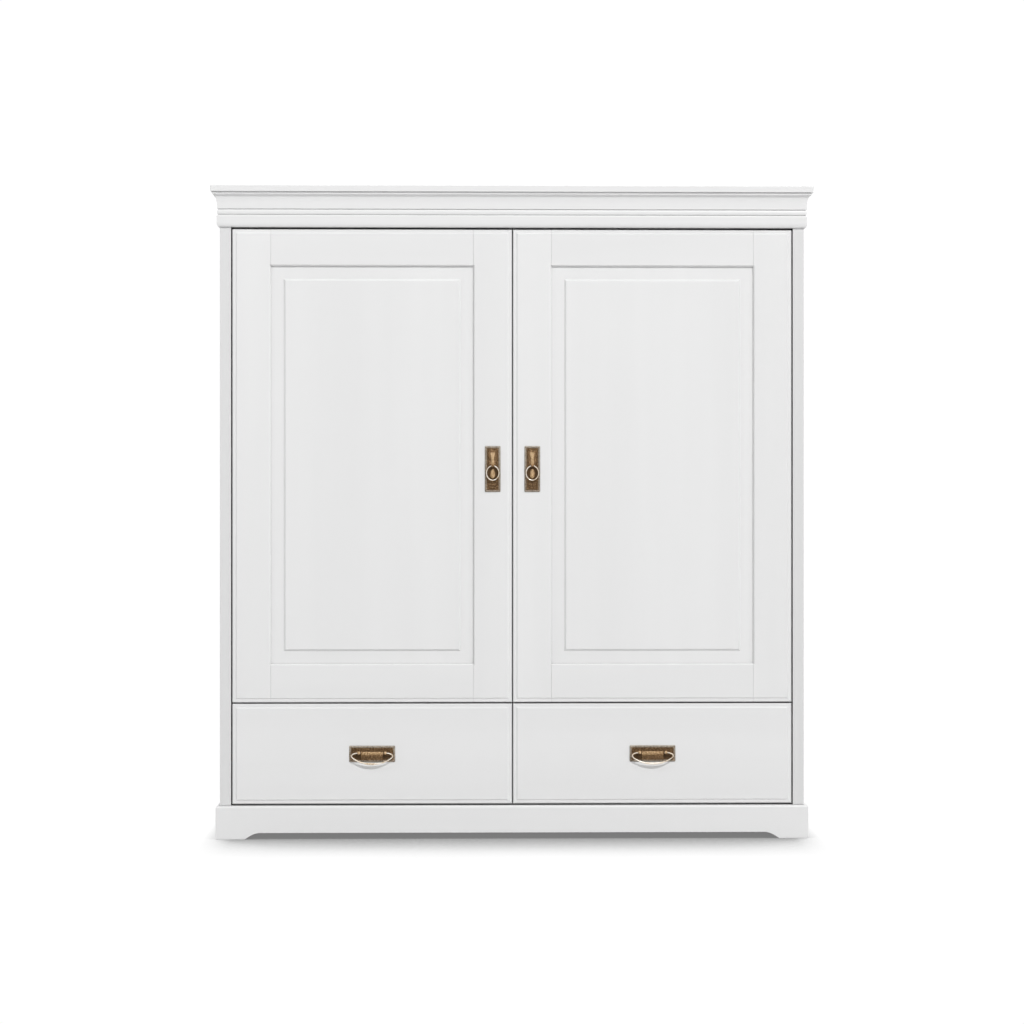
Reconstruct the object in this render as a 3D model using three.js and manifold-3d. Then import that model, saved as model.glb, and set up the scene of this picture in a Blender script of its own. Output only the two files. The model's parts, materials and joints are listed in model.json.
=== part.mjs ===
// A painted wardrobe: two framed doors over two drawers, under a moulded cornice, on a plinth with
// bracket feet. Sizes are in millimetres and +Z is up. The doors face -Y. The origin is on the floor,
// under the middle of the wardrobe's box.

import * as THREE from 'three';
import { mergeVertices } from 'three/addons/utils/BufferGeometryUtils.js';
import Module from 'manifold-3d';

const wasm = await Module();
wasm.setup();

// ---- Driving dimensions ----

const HEIGHT = 1629; // floor to the top of the top board
const WIDTH = 1460; // over the side panels
const DEPTH = 560; // face of the doors to the back of the side panels
const FIT = 0.3; // clearance between pieces that touch

// carcass
const SIDE_THICKNESS = 27.5;
const BOARD_THICKNESS = 18; // floor, deck, partitions and shelves
const BACK_THICKNESS = 6;
const BACK_REBATE = 12; // how far the back panel laps onto each side panel
const TOP_THICKNESS = 15;
const TOP_OVERHANG = 22; // at the front and at both sides
const HEADER_THICKNESS = 22;
const STOP_GAP = 2; // behind the closed doors and drawer fronts

// cornice: heights of its members from the bottom up, and their projections from the carcass
const OVOLO_HEIGHT = 30.5;
const BEAD_HEIGHT = 14;
const NECK_HEIGHT = 3;
const COVE_HEIGHT = 33;
const FILLET_SLOPE = 1; // height of the slope from the cove out to the fillet
const FILLET_HEIGHT = 5.5;
const CORNICE_LIP = 2.5;
const OVOLO_OUT = 7.5;
const OVOLO_ROUND = 12; // height of the round under its flat face
const OVOLO_CAP = 4; // radius above its flat face
const BEAD_OUT = 6.5;
const NECK_OUT = 3.5;
const COVE_FOOT_OUT = 6.5;
const COVE_HEAD_OUT = 15.5;
const FILLET_OUT = 17.5;
const BEAD_QUIRK = 0.5; // flat strip below and above the bead
const NECK_CHAMFER = 1.5;

// plinth
const PLINTH_HEIGHT = 83;
const PLINTH_THICKNESS = 25;
const PLINTH_OUT = 10; // how far it stands proud of the carcass
const PLINTH_ROUND = 6; // radius along its top edge
const PLINTH_BACK_THICKNESS = 18;
const FOOT_LENGTH = 72; // flat underside of each bracket foot
const FOOT_CURVE = 38; // length of the slope between the foot and the straight edge
const FOOT_RISE = 16; // height of the cut-out between the feet

// doors and drawer fronts
const FRONT_THICKNESS = 22;
const SIDE_GAP = 3; // between a front and the side panel
const MEETING_GAP = 3; // between the two doors
const DOOR_TOP_GAP = 4.5;
const DOOR_DRAWER_GAP = 3.5;
const DRAWER_BOTTOM_GAP = 4;
const DRAWER_FRONT_HEIGHT = 250;
const LEDGE_WIDTH = 8.5; // sunk ledge round the edge of a front
const LEDGE_DROP = 2.2;
const LEDGE_SLOPE = 3; // width of the slope from the ledge up to the face
const EDGE_CHAMFER = 2; // along the outer edges of a front

// door frame and raised panel
const STILE_WIDTH = 96;
const TOP_RAIL_WIDTH = 92;
const BOTTOM_RAIL_WIDTH = 96;
const STICKING = 3.2; // chamfer along the inner edges of the frame
const TONGUE_FRONT = 7; // depths behind the door's face
const TONGUE_BACK = 15;
const TONGUE_LENGTH = 10; // how far panel and tenons enter the grooves
const GROOVE_SPARE = 1; // the groove is deeper than the tongue by this
const MARGIN_WIDTH = 32; // sloping margin round the raised field
const MARGIN_RISE = 1.2;
const FIELD_STEP = 5; // width of the small slope up to the field
const FIELD_RECESS = 0.8; // field behind the door's face

// concealed hinges
const HINGE_END = 120; // hinge centre from the top and the bottom of the door
const PIN_FROM_BACK = 8.5; // in front of the door's back face
const SWEEP_CLEARANCE = 0.38; // least gap between the swinging door's edge and the side panel
const CUP_EDGE = 6.5; // least wood between the cup and the door's edge
const PIN_RADIUS = 1.25;
const PIN_CLEARANCE = 0.2;
const KNUCKLE_WALL = 1.15;
const CUP_RADIUS = 17.5;
const CUP_DEPTH = 12.5;
const CUP_WALL = 1;
const FLANGE_LIP = 2; // how far the round flange laps past the cup
const FLANGE_THICKNESS = 1.5;
const FLANGE_HEIGHT = 62;
const FLANGE_WIDTH = 15;
const ARM_ANGLE = 50; // degrees from straight back, so the arm splits the door's swing
const ARM_THICKNESS = 2.4;
const ARM_HEIGHT = 10;
const ARM_PAST_EDGE = 7; // straight part of the arm, past the swing of the door's edge
const MOUNT_PAST_EDGE = 18; // the mounting plate starts this far past the same swing
const ELBOW_SHARE = 0.75; // how far out the elbow stays, as a share of the straight part's end
const ELBOW_BEFORE_MOUNT = 5;
const ARM_INTO_MOUNT = [1, 4]; // depths of the arm's last two bends, behind the plate's front end
const WELD = 0.5; // how far joined shapes run into each other
const MOUNT_LENGTH = 42;
const MOUNT_HEIGHT = 48;
const MOUNT_THICKNESS = 2.5;
const ARM_BODY_LENGTH = 50;
const ARM_BODY_HEIGHT = 14;
const ARM_BODY_DEPTH = 9;

// drawers
const DRAWER_BACK_SPACE = 52; // between the drawer box and the back panel
const DRAWER_SIDE_DROP = 60; // box sides lower than the front is high
const DRAWER_SIDE_THICKNESS = 16;
const DRAWER_LIFT = 4; // box above the carcass floor
const DRAWER_SIDE_GAP = 6; // box to the walls of its bay
const DRAWER_BACK_DROP = 12; // back lower than the sides
const BOTTOM_THICKNESS = 6;
const BOTTOM_HEIGHT = 12; // underside of the drawer bottom above the sides' lower edge
const BOTTOM_TONGUE = 5.5;
const BOTTOM_GROOVE = 6;
const RUNNER_HEIGHT = 18;
const RUNNER_SPARE = 0.75; // between runner and groove, above and below
const RUNNER_GROOVE = 8;
const RUNNER_END_GAP = 1; // between the runner's edge and the bottom of its groove
const RUNNER_SHORT = 10; // runner shorter than the drawer's sides

// inside the upper bays
const SHELF_SETBACK = 60; // behind the face of the doors
const SHELF_COUNT = 2;
const HAT_SPACE = 259; // above the hat shelf
const RAIL_RADIUS = 14;
const RAIL_DROP = 62; // rail centre below the hat shelf

// ring pulls on the doors
const HANDLE_FROM_BOTTOM = 583; // plate centre above the door's lower edge
const PLATE_LONG = 114.5;
const PLATE_SHORT = 39;
const PLATE_THICKNESS = 2;
const PLATE_CORNER = 3;
const RING_RADIUS = 18;
const RING_NARROWING = 0.86; // the ring's width as a share of its height
const RING_WIRE = 1.25;
const RING_OUT = 8; // ring centre line from the door's face
const RING_PIVOT = 8; // above the plate's centre
const EYE_RADIUS = 3.7;
const EYE_WIDTH = 7;
const EYE_CLEARANCE = 0.6;
const STEM_OUT = 4.6; // relief of the ornament, from the door's face
const STEM_EDGE = [[5.6, 40], [5, 34], [4.2, 27], [3.8, 18], [4, 11]]; // half width at each height
const DROP_HALF_WIDTH = 6.5;
const DROP_HALF_HEIGHT = 10.5;
const DROP_BELOW_CENTRE = 2; // drop ornament's middle below the ring's

// bail pulls on the drawers
const BAIL_PLATE_HEIGHT = 40.5;
const BAIL_WIRE = 1.6;
const BAIL_OUT = 10;
const BAIL_PIVOT = 2.5; // above the plate's centre
const BAIL_POST = 33; // post from the plate's centre
const BAIL_POST_RADIUS = 4;
const BAIL_POST_WIDTH = 6;
const BAIL_CLEARANCE = 0.3;
const BAIL_HALF_WIDTH = 51;
const BAIL_DROP = 27;
const BAIL_END_GAP = 0.5; // how far the bail's ends pass through their posts
const BAIL_BENDS = [ // points down one half of the bail, as shares of its half width and its drop
  [0.725, 0], [0.882, 0.056], [1, 0.296], [0.902, 0.537], [0.62, 0.833], [0.3, 0.963],
];
const CARTOUCHE_WIDTH = 57;
const CARTOUCHE_TOP = 6.5;
const CARTOUCHE_BOTTOM = -18.5;
const CARTOUCHE_OUT = 5.2;
const CARTOUCHE_SLOPE = 3;
const CARTOUCHE_EDGE = 1; // height of its edge above the plate

// ---- Places worked out from the dimensions ----

const HALF = WIDTH / 2;
const INNER = HALF - SIDE_THICKNESS; // middle to the inner face of a side panel
const BACK_FACE = DEPTH - BACK_THICKNESS; // inner face of the back panel
const SETBACK = FRONT_THICKNESS + STOP_GAP; // front edges behind the closed fronts
const CARCASS_TOP = HEIGHT - TOP_THICKNESS;
const BEAD_BOTTOM = OVOLO_HEIGHT;
const BEAD_TOP = BEAD_BOTTOM + BEAD_HEIGHT;
const COVE_BOTTOM = BEAD_TOP + NECK_HEIGHT;
const COVE_TOP = COVE_BOTTOM + COVE_HEIGHT;
const CORNICE_HEIGHT = COVE_TOP + FILLET_SLOPE + FILLET_HEIGHT;
const CORNICE_BOTTOM = CARCASS_TOP - CORNICE_HEIGHT;
const FLOOR_TOP = PLINTH_HEIGHT + BOARD_THICKNESS;
const DRAWER_BOTTOM = PLINTH_HEIGHT + DRAWER_BOTTOM_GAP;
const DECK_TOP = DRAWER_BOTTOM + DRAWER_FRONT_HEIGHT;
const DECK_BOTTOM = DECK_TOP - BOARD_THICKNESS;
const DOOR_BOTTOM = DECK_TOP + DOOR_DRAWER_GAP;
const DOOR_HEIGHT = CORNICE_BOTTOM - DOOR_TOP_GAP - DOOR_BOTTOM;
const FRONT_EDGE = INNER - SIDE_GAP; // middle to the outer edge of a front
const FRONT_WIDTH = FRONT_EDGE - MEETING_GAP / 2;
const PARTITION_HALF = BOARD_THICKNESS / 2;
const HAT_SHELF_BOTTOM = CARCASS_TOP - HAT_SPACE - BOARD_THICKNESS;
const PIN_DEPTH = FRONT_THICKNESS - PIN_FROM_BACK; // behind the door's face
const SWEEP_GAP = SIDE_GAP - SWEEP_CLEARANCE;
const CORNER_DEPTH = PIN_DEPTH - LEDGE_DROP; // door's front corner in front of the pin
// A door corner swings clear of the side panel when the pin is at least this far from the edge.
const PIN_FOR_SWEEP = (CORNER_DEPTH ** 2 - SWEEP_GAP ** 2) / (2 * SWEEP_GAP);
const PIN_FROM_EDGE = Math.max(CUP_RADIUS + CUP_EDGE, PIN_FOR_SWEEP);
const ARM_REACH = PIN_FROM_EDGE + ARM_PAST_EDGE;
const MOUNT_START = PIN_FROM_EDGE + MOUNT_PAST_EDGE; // behind the pin
const HINGE_HEIGHTS = { lower: HINGE_END, upper: DOOR_HEIGHT - HINGE_END };
const MIDDLE_Y = (DEPTH - TOP_OVERHANG) / 2; // middle of the whole depth, behind the doors' face

const LEFT = -1;
const RIGHT = 1;
const sideName = (side) => (side === LEFT ? 'left' : 'right');

// ---- Finishes ----

const finish = (color, roughness, metalness) => () =>
  new THREE.MeshStandardMaterial({ color, roughness, metalness });

const lacquer = finish(0xe8e8e8, 0.42, 0);
const backing = finish(0xe2e3e4, 0.6, 0);
const beech = finish(0xd8b88c, 0.55, 0);
const antiqueBrass = finish(0x6f5b40, 0.5, 0.85);
const paleBrass = finish(0xc2a578, 0.35, 0.9);
const nickel = finish(0xb8babd, 0.3, 1);

// ---- Shapes ----

const X_AXIS = new THREE.Vector3(1, 0, 0);
const Y_AXIS = new THREE.Vector3(0, 1, 0);
const Z_AXIS = new THREE.Vector3(0, 0, 1);

function piece(name, geometry, makeFinish) {
  const mesh = new THREE.Mesh(geometry, makeFinish());
  mesh.name = name;
  return mesh;
}

// A plain board between two limits along each axis; a pair of limits may come in either order.
function board(name, makeFinish, [x0, x1], [y0, y1], [z0, z1]) {
  const size = [x1 - x0, y1 - y0, z1 - z0].map(Math.abs);
  const mesh = piece(name, new THREE.BoxGeometry(...size), makeFinish);
  mesh.position.set((x0 + x1) / 2, (y0 + y1) / 2, (z0 + z1) / 2);
  return mesh;
}

function block([x0, x1], [y0, y1], [z0, z1]) {
  const box = new THREE.BoxGeometry(x1 - x0, y1 - y0, z1 - z0);
  return box.translate((x0 + x1) / 2, (y0 + y1) / 2, (z0 + z1) / 2);
}

// An outline drawn out along an axis. Its pairs are [y, z] along x, [x, z] along y and [x, y] along z.
function prism(axis, outline, from, to) {
  const shape = new THREE.Shape(outline.map(([u, v]) => new THREE.Vector2(u, v)));
  const drawn = new THREE.ExtrudeGeometry(shape, { depth: to - from, bevelEnabled: false });
  const turn = new THREE.Matrix4();
  if (axis === 'x') {
    return drawn.applyMatrix4(turn.makeBasis(Y_AXIS, Z_AXIS, X_AXIS)).translate(from, 0, 0);
  }
  if (axis === 'y') {
    const towardsFront = Y_AXIS.clone().negate();
    return drawn.applyMatrix4(turn.makeBasis(X_AXIS, Z_AXIS, towardsFront)).translate(0, to, 0);
  }
  return drawn.translate(0, 0, from);
}

// A round bar centred on the origin.
function bar(axis, radius, length, segments) {
  const drawn = new THREE.CylinderGeometry(radius, radius, length, segments);
  if (axis === 'x') return drawn.rotateZ(Math.PI / 2);
  if (axis === 'z') return drawn.rotateX(Math.PI / 2);
  return drawn;
}

// Skins rectangles that lie in planes across Y, from the back one to the front one.
function rectangleStack(rectangles) {
  const points = rectangles.flatMap(({ x: [x0, x1], z: [z0, z1], y }) => [
    [x0, y, z0], [x1, y, z0], [x1, y, z1], [x0, y, z1],
  ]);
  const index = [2, 1, 0, 3, 2, 0];
  for (let ring = 0; ring + 1 < rectangles.length; ring += 1) {
    for (let corner = 0; corner < 4; corner += 1) {
      const a = ring * 4 + corner;
      const b = ring * 4 + ((corner + 1) % 4);
      index.push(a, b, b + 4, a, b + 4, a + 4);
    }
  }
  const last = points.length - 4;
  index.push(last, last + 1, last + 2, last, last + 2, last + 3);
  const geometry = new THREE.BufferGeometry();
  geometry.setAttribute('position', new THREE.Float32BufferAttribute(points.flat(), 3));
  geometry.setIndex(index);
  return geometry;
}

// Shapes are drawn for the left half; the right half takes their mirror image.
function sided(side, geometry) {
  if (side === LEFT) return geometry;
  const mirrored = geometry.index ? geometry.toNonIndexed() : geometry.clone();
  mirrored.scale(-1, 1, 1);
  const { array } = mirrored.attributes.position;
  for (let i = 0; i < array.length; i += 9) {
    for (let k = 0; k < 3; k += 1) {
      [array[i + k], array[i + 3 + k]] = [array[i + 3 + k], array[i + k]];
    }
  }
  mirrored.computeVertexNormals();
  return mirrored;
}

function solidOf(geometry) {
  const bare = geometry.clone();
  bare.deleteAttribute('normal');
  bare.deleteAttribute('uv');
  const merged = mergeVertices(bare);
  const vertProperties = new Float32Array(merged.attributes.position.array);
  const triVerts = new Uint32Array(merged.index.array);
  return new wasm.Manifold(new wasm.Mesh({ numProp: 3, vertProperties, triVerts }));
}

function geometryOf(solid) {
  const { vertProperties, triVerts } = solid.getMesh();
  const indexed = new THREE.BufferGeometry();
  indexed.setAttribute('position', new THREE.BufferAttribute(vertProperties, 3));
  indexed.setIndex(new THREE.BufferAttribute(triVerts, 1));
  const geometry = indexed.toNonIndexed();
  geometry.computeVertexNormals();
  return geometry;
}

const joined = (first, ...others) =>
  geometryOf(others.reduce((sum, other) => sum.add(solidOf(other)), solidOf(first)));

const cut = (first, ...tools) =>
  geometryOf(tools.reduce((rest, tool) => rest.subtract(solidOf(tool)), solidOf(first)));

const common = (first, second) => geometryOf(solidOf(first).intersect(solidOf(second)));

// Points along part of an ellipse, with angles in degrees from its first axis.
function arc(centre, radii, fromAngle, toAngle, steps) {
  return Array.from({ length: steps + 1 }, (_, i) => {
    const angle = THREE.MathUtils.degToRad(fromAngle + ((toAngle - fromAngle) * i) / steps);
    return [centre[0] + radii[0] * Math.cos(angle), centre[1] + radii[1] * Math.sin(angle)];
  });
}

// ---- Carcass ----

// One side panel, with a rebate along its back inner edge for the back panel.
function sidePanel(side) {
  const outline = [
    [-HALF, 0], [-INNER, 0], [-INNER, BACK_FACE], [-INNER - BACK_REBATE, BACK_FACE],
    [-INNER - BACK_REBATE, DEPTH], [-HALF, DEPTH],
  ];
  const panel = prism('z', outline, PLINTH_HEIGHT + FIT, CARCASS_TOP);
  return piece(`${sideName(side)}_side_panel`, sided(side, panel), lacquer);
}

function carcass() {
  const group = new THREE.Group();
  const across = [-INNER + FIT, INNER - FIT];
  const behindFronts = [SETBACK, BACK_FACE - FIT];
  const backHalf = INNER + BACK_REBATE - FIT;
  const topHalf = HALF + TOP_OVERHANG;
  group.add(
    sidePanel(LEFT),
    sidePanel(RIGHT),
    board('top_board', lacquer, [-topHalf, topHalf], [-TOP_OVERHANG, DEPTH], [CARCASS_TOP + FIT, HEIGHT]),
    board('header_rail', lacquer, across, [0, HEADER_THICKNESS], [CORNICE_BOTTOM, CARCASS_TOP]),
    board('deck_panel', lacquer, across, behindFronts, [DECK_BOTTOM, DECK_TOP]),
    board('floor_panel', lacquer, across, behindFronts, [PLINTH_HEIGHT + FIT, FLOOR_TOP]),
    board(
      'centre_partition', lacquer, [-PARTITION_HALF, PARTITION_HALF], behindFronts,
      [DECK_TOP + FIT, CARCASS_TOP],
    ),
    board(
      'drawer_partition', lacquer, [-PARTITION_HALF, PARTITION_HALF], behindFronts,
      [FLOOR_TOP + FIT, DECK_BOTTOM - FIT],
    ),
    board(
      'back_panel', backing, [-backHalf, backHalf], [BACK_FACE + FIT, DEPTH],
      [PLINTH_HEIGHT + FIT, CARCASS_TOP],
    ),
  );
  return group;
}

// ---- Mouldings that run round the front and both sides ----

// The cornice's section as [projection, height] pairs: an ovolo, a bead, a cove and a top fillet.
function corniceSection() {
  const capCentre = [OVOLO_OUT - OVOLO_CAP, OVOLO_HEIGHT - OVOLO_CAP];
  const beadMiddle = BEAD_BOTTOM + BEAD_HEIGHT / 2;
  const beadHalf = BEAD_HEIGHT / 2 - BEAD_QUIRK;
  const coveRadii = [COVE_HEAD_OUT - COVE_FOOT_OUT, COVE_HEIGHT];
  return [
    [FIT, 0],
    ...arc([CORNICE_LIP, OVOLO_ROUND], [OVOLO_OUT - CORNICE_LIP, OVOLO_ROUND], -90, 0, 8),
    ...arc(capCentre, [OVOLO_CAP, OVOLO_CAP], 0, 90, 5),
    ...arc([NECK_OUT, beadMiddle], [BEAD_OUT - NECK_OUT, beadHalf], -90, 90, 8),
    [NECK_OUT, BEAD_TOP],
    [COVE_FOOT_OUT, BEAD_TOP + NECK_CHAMFER],
    [COVE_FOOT_OUT, COVE_BOTTOM],
    ...arc([COVE_HEAD_OUT, COVE_BOTTOM], coveRadii, 180, 90, 10).slice(1),
    [FILLET_OUT, COVE_TOP + FILLET_SLOPE],
    [FILLET_OUT, CORNICE_HEIGHT],
    [FIT, CORNICE_HEIGHT],
  ];
}

// The plinth's section, with its top outer edge rounded.
function plinthSection() {
  const roundCentre = [PLINTH_OUT - PLINTH_ROUND, PLINTH_HEIGHT - PLINTH_ROUND];
  return [
    [PLINTH_OUT - PLINTH_THICKNESS, 0],
    [PLINTH_OUT, 0],
    ...arc(roundCentre, [PLINTH_ROUND, PLINTH_ROUND], 0, 90, 8),
    [PLINTH_OUT - PLINTH_THICKNESS, PLINTH_HEIGHT],
  ];
}

// A moulding that runs along X and projects towards -Y. Its two ends may depend on the projection,
// which makes them mitres.
function moulding(section, startAt, endAt) {
  const start = 0;
  const drawn = prism('x', section.map(([out, up]) => [-out, up]), start, start + 1);
  const { position } = drawn.attributes;
  for (let i = 0; i < position.count; i += 1) {
    const out = -position.getY(i);
    position.setX(i, position.getX(i) === start ? startAt(out) : endAt(out));
  }
  return drawn;
}

// Puts a side moulding in place: the left one runs forwards from the back, the right one backwards
// from the front. Its mitred front end leaves room for the front piece.
function sideMoulding(side, name, section, cutter) {
  const front = (out) => out - FIT;
  const run = side === LEFT
    ? moulding(section, () => 0, (out) => DEPTH + front(out))
    : moulding(section, (out) => -front(out), () => DEPTH);
  const geometry = cutter ? cut(run, cutter) : run;
  const mesh = piece(`${name}_${sideName(side)}`, geometry, lacquer);
  mesh.rotation.z = side * Math.PI / 2;
  mesh.position.set(side * HALF, side === LEFT ? DEPTH : 0, 0);
  return mesh;
}

function cornice() {
  const group = new THREE.Group();
  const section = corniceSection();
  const front = moulding(section, (out) => -HALF - out, (out) => HALF + out);
  group.add(
    piece('cornice_front', front, lacquer),
    sideMoulding(LEFT, 'cornice', section),
    sideMoulding(RIGHT, 'cornice', section),
  );
  group.position.z = CORNICE_BOTTOM;
  return group;
}

// The opening between two bracket feet: at each foot the plinth's lower edge slopes up and rounds over.
function footCutter(start, end) {
  const past = PLINTH_THICKNESS; // the cutter runs past the plinth's faces
  const steps = 12;
  const climb = Array.from({ length: steps + 1 }, (_, i) => {
    const share = i / steps;
    return [FOOT_CURVE * share, FOOT_RISE * Math.sin((Math.PI * share) / 2)];
  });
  const outline = [
    [start, -past],
    ...climb.map(([x, z]) => [start + x, z]),
    ...climb.map(([x, z]) => [end - x, z]).reverse(),
    [end, -past],
  ];
  return prism('y', outline, -PLINTH_OUT - past, PLINTH_THICKNESS - PLINTH_OUT + past);
}

function plinth() {
  const group = new THREE.Group();
  const section = plinthSection();
  const corner = HALF + PLINTH_OUT;
  const front = moulding(section, (out) => -HALF - out, (out) => HALF + out);
  const frontCutter = footCutter(-corner + FOOT_LENGTH, corner - FOOT_LENGTH);
  const sideStart = FOOT_LENGTH;
  const sideEnd = DEPTH + PLINTH_OUT - FOOT_LENGTH;
  const backHalf = corner - PLINTH_THICKNESS - FIT;
  group.add(
    piece('plinth_front', cut(front, frontCutter), lacquer),
    sideMoulding(LEFT, 'plinth', section, footCutter(sideStart, sideEnd)),
    sideMoulding(RIGHT, 'plinth', section, footCutter(DEPTH - sideEnd, DEPTH - sideStart)),
    board(
      'plinth_back', lacquer, [-backHalf, backHalf], [DEPTH - PLINTH_BACK_THICKNESS, DEPTH],
      [0, PLINTH_HEIGHT],
    ),
  );
  return group;
}

// ---- Shelves and clothes rail ----

function interior() {
  const group = new THREE.Group();
  const leftBay = [-INNER + FIT, -PARTITION_HALF - FIT];
  const rightBay = [PARTITION_HALF + FIT, INNER - FIT];
  const shelfDepth = [SHELF_SETBACK, BACK_FACE - FIT];
  const bayHeight = CARCASS_TOP - DECK_TOP;
  const space = (bayHeight - SHELF_COUNT * BOARD_THICKNESS) / (SHELF_COUNT + 1);
  group.add(
    board('hat_shelf', lacquer, leftBay, shelfDepth, [HAT_SHELF_BOTTOM, HAT_SHELF_BOTTOM + BOARD_THICKNESS]),
  );
  for (let i = 0; i < SHELF_COUNT; i += 1) {
    const bottom = DECK_TOP + space + i * (space + BOARD_THICKNESS);
    group.add(board(`shelf_${i + 1}`, lacquer, rightBay, shelfDepth, [bottom, bottom + BOARD_THICKNESS]));
  }
  const rail = piece('clothes_rail', bar('x', RAIL_RADIUS, leftBay[1] - leftBay[0], 32), beech);
  rail.position.set(
    (leftBay[0] + leftBay[1]) / 2,
    (SHELF_SETBACK + BACK_FACE) / 2,
    HAT_SHELF_BOTTOM - RAIL_DROP,
  );
  group.add(rail);
  return group;
}

// ---- Concealed hinges ----
// Both halves are drawn round the pin, for the left door: +X points into the bay, +Y to the back.

const DOOR_BACK_FROM_PIN = FRONT_THICKNESS - PIN_DEPTH;

function hingeCup() {
  const rim = DOOR_BACK_FROM_PIN + FIT;
  const bottom = DOOR_BACK_FROM_PIN - CUP_DEPTH;
  const top = rim + FLANGE_THICKNESS;
  const shell = bar('y', CUP_RADIUS, top - bottom, 40).translate(0, (top + bottom) / 2, 0);
  const collar = bar('y', CUP_RADIUS + FLANGE_LIP, FLANGE_THICKNESS, 40)
    .translate(0, (rim + top) / 2, 0);
  const wings = block(
    [-FLANGE_WIDTH / 2, FLANGE_WIDTH / 2], [rim, top], [-FLANGE_HEIGHT / 2, FLANGE_HEIGHT / 2],
  );
  const hollow = bar('y', CUP_RADIUS - CUP_WALL, 2 * CUP_DEPTH, 40)
    .translate(0, bottom + CUP_WALL + CUP_DEPTH, 0);
  const pin = bar('z', PIN_RADIUS, 2 * CUP_RADIUS - CUP_WALL, 16);
  return joined(cut(joined(shell, collar, wings), hollow), pin);
}

// The bent arm as a strip of even thickness round its centre line.
function armStrip() {
  const angle = THREE.MathUtils.degToRad(ARM_ANGLE);
  const mountFace = -PIN_FROM_EDGE - SIDE_GAP;
  const reach = new THREE.Vector2(Math.sin(angle), Math.cos(angle)).multiplyScalar(ARM_REACH);
  const elbow = [reach.x * ELBOW_SHARE, MOUNT_START - ELBOW_BEFORE_MOUNT];
  const [bendDepth, endDepth] = ARM_INTO_MOUNT;
  const bodyMiddle = mountFace + FIT + MOUNT_THICKNESS + ARM_BODY_DEPTH / 2;
  const path = new THREE.SplineCurve([
    new THREE.Vector2(0, 0),
    reach.clone().divideScalar(2),
    reach,
    new THREE.Vector2(...elbow),
    new THREE.Vector2(0, MOUNT_START + bendDepth),
    new THREE.Vector2(bodyMiddle, MOUNT_START + endDepth),
  ]);
  const steps = 24;
  const edge = (offset) => Array.from({ length: steps + 1 }, (_, i) => {
    const point = path.getPoint(i / steps);
    const along = path.getTangent(i / steps);
    return [point.x - along.y * offset, point.y + along.x * offset];
  });
  const outline = [...edge(-ARM_THICKNESS / 2), ...edge(ARM_THICKNESS / 2).reverse()];
  return prism('z', outline, -ARM_HEIGHT / 2, ARM_HEIGHT / 2);
}

function hingeArm() {
  const mountFace = -PIN_FROM_EDGE - SIDE_GAP + FIT;
  const bodyFace = mountFace + MOUNT_THICKNESS;
  const plate = block(
    [mountFace, bodyFace], [MOUNT_START, MOUNT_START + MOUNT_LENGTH], [-MOUNT_HEIGHT / 2, MOUNT_HEIGHT / 2],
  );
  const body = block(
    [bodyFace - WELD, bodyFace + ARM_BODY_DEPTH], [MOUNT_START, MOUNT_START + ARM_BODY_LENGTH],
    [-ARM_BODY_HEIGHT / 2, ARM_BODY_HEIGHT / 2],
  );
  const holeRadius = PIN_RADIUS + PIN_CLEARANCE;
  const knuckle = bar('z', holeRadius + KNUCKLE_WALL, ARM_HEIGHT, 20);
  const hole = bar('z', holeRadius, 2 * ARM_HEIGHT, 16);
  return cut(joined(plate, body, armStrip(), knuckle), hole);
}

function hingeArms(side) {
  const group = new THREE.Group();
  const geometry = sided(side, hingeArm());
  for (const [level, height] of Object.entries(HINGE_HEIGHTS)) {
    const arm = piece(`${sideName(side)}_${level}_hinge_arm`, geometry, nickel);
    arm.position.set(side * (FRONT_EDGE - PIN_FROM_EDGE), PIN_DEPTH, DOOR_BOTTOM + height);
    group.add(arm);
  }
  return group;
}

// ---- Doors ----
// A left door is drawn from its outer lower front corner: +X runs to the meeting edge, +Y to the back.

// A front with a sunk ledge round its face.
function facedBlank(width, height) {
  const inset = (by, y) => ({ x: [by, width - by], z: [by, height - by], y });
  return rectangleStack([
    inset(0, FRONT_THICKNESS),
    inset(0, LEDGE_DROP + EDGE_CHAMFER),
    inset(EDGE_CHAMFER, LEDGE_DROP),
    inset(LEDGE_WIDTH, LEDGE_DROP),
    inset(LEDGE_WIDTH + LEDGE_SLOPE, 0),
  ]);
}

// The section of a frame member, as [across, depth] pairs, with its groove in the edge at `width`.
function frameSection(width) {
  const grooveBottom = width - TONGUE_LENGTH - GROOVE_SPARE;
  return [
    [0, 0], [width, 0], [width, TONGUE_FRONT - FIT], [grooveBottom, TONGUE_FRONT - FIT],
    [grooveBottom, TONGUE_BACK + FIT], [width, TONGUE_BACK + FIT],
    [width, FRONT_THICKNESS], [0, FRONT_THICKNESS],
  ];
}

function doorRail(width, fromTop) {
  const place = (across) => (fromTop ? DOOR_HEIGHT - across : across);
  const section = frameSection(width).map(([across, depth]) => [depth, place(across)]);
  const shoulders = [STILE_WIDTH + FIT, FRONT_WIDTH - STILE_WIDTH - FIT];
  const tenonHeights = [place(0), place(width - TONGUE_LENGTH - GROOVE_SPARE)].sort((a, b) => a - b);
  const tenons = block(
    [shoulders[0] - TONGUE_LENGTH, shoulders[1] + TONGUE_LENGTH], [TONGUE_FRONT, TONGUE_BACK],
    tenonHeights,
  );
  return joined(prism('x', section, ...shoulders), tenons);
}

// The frame's opening, grown by some amount, in a plane across Y.
function openingLayer(by, y) {
  return {
    x: [STILE_WIDTH - by, FRONT_WIDTH - STILE_WIDTH + by],
    z: [BOTTOM_RAIL_WIDTH - by, DOOR_HEIGHT - TOP_RAIL_WIDTH + by],
    y,
  };
}

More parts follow.
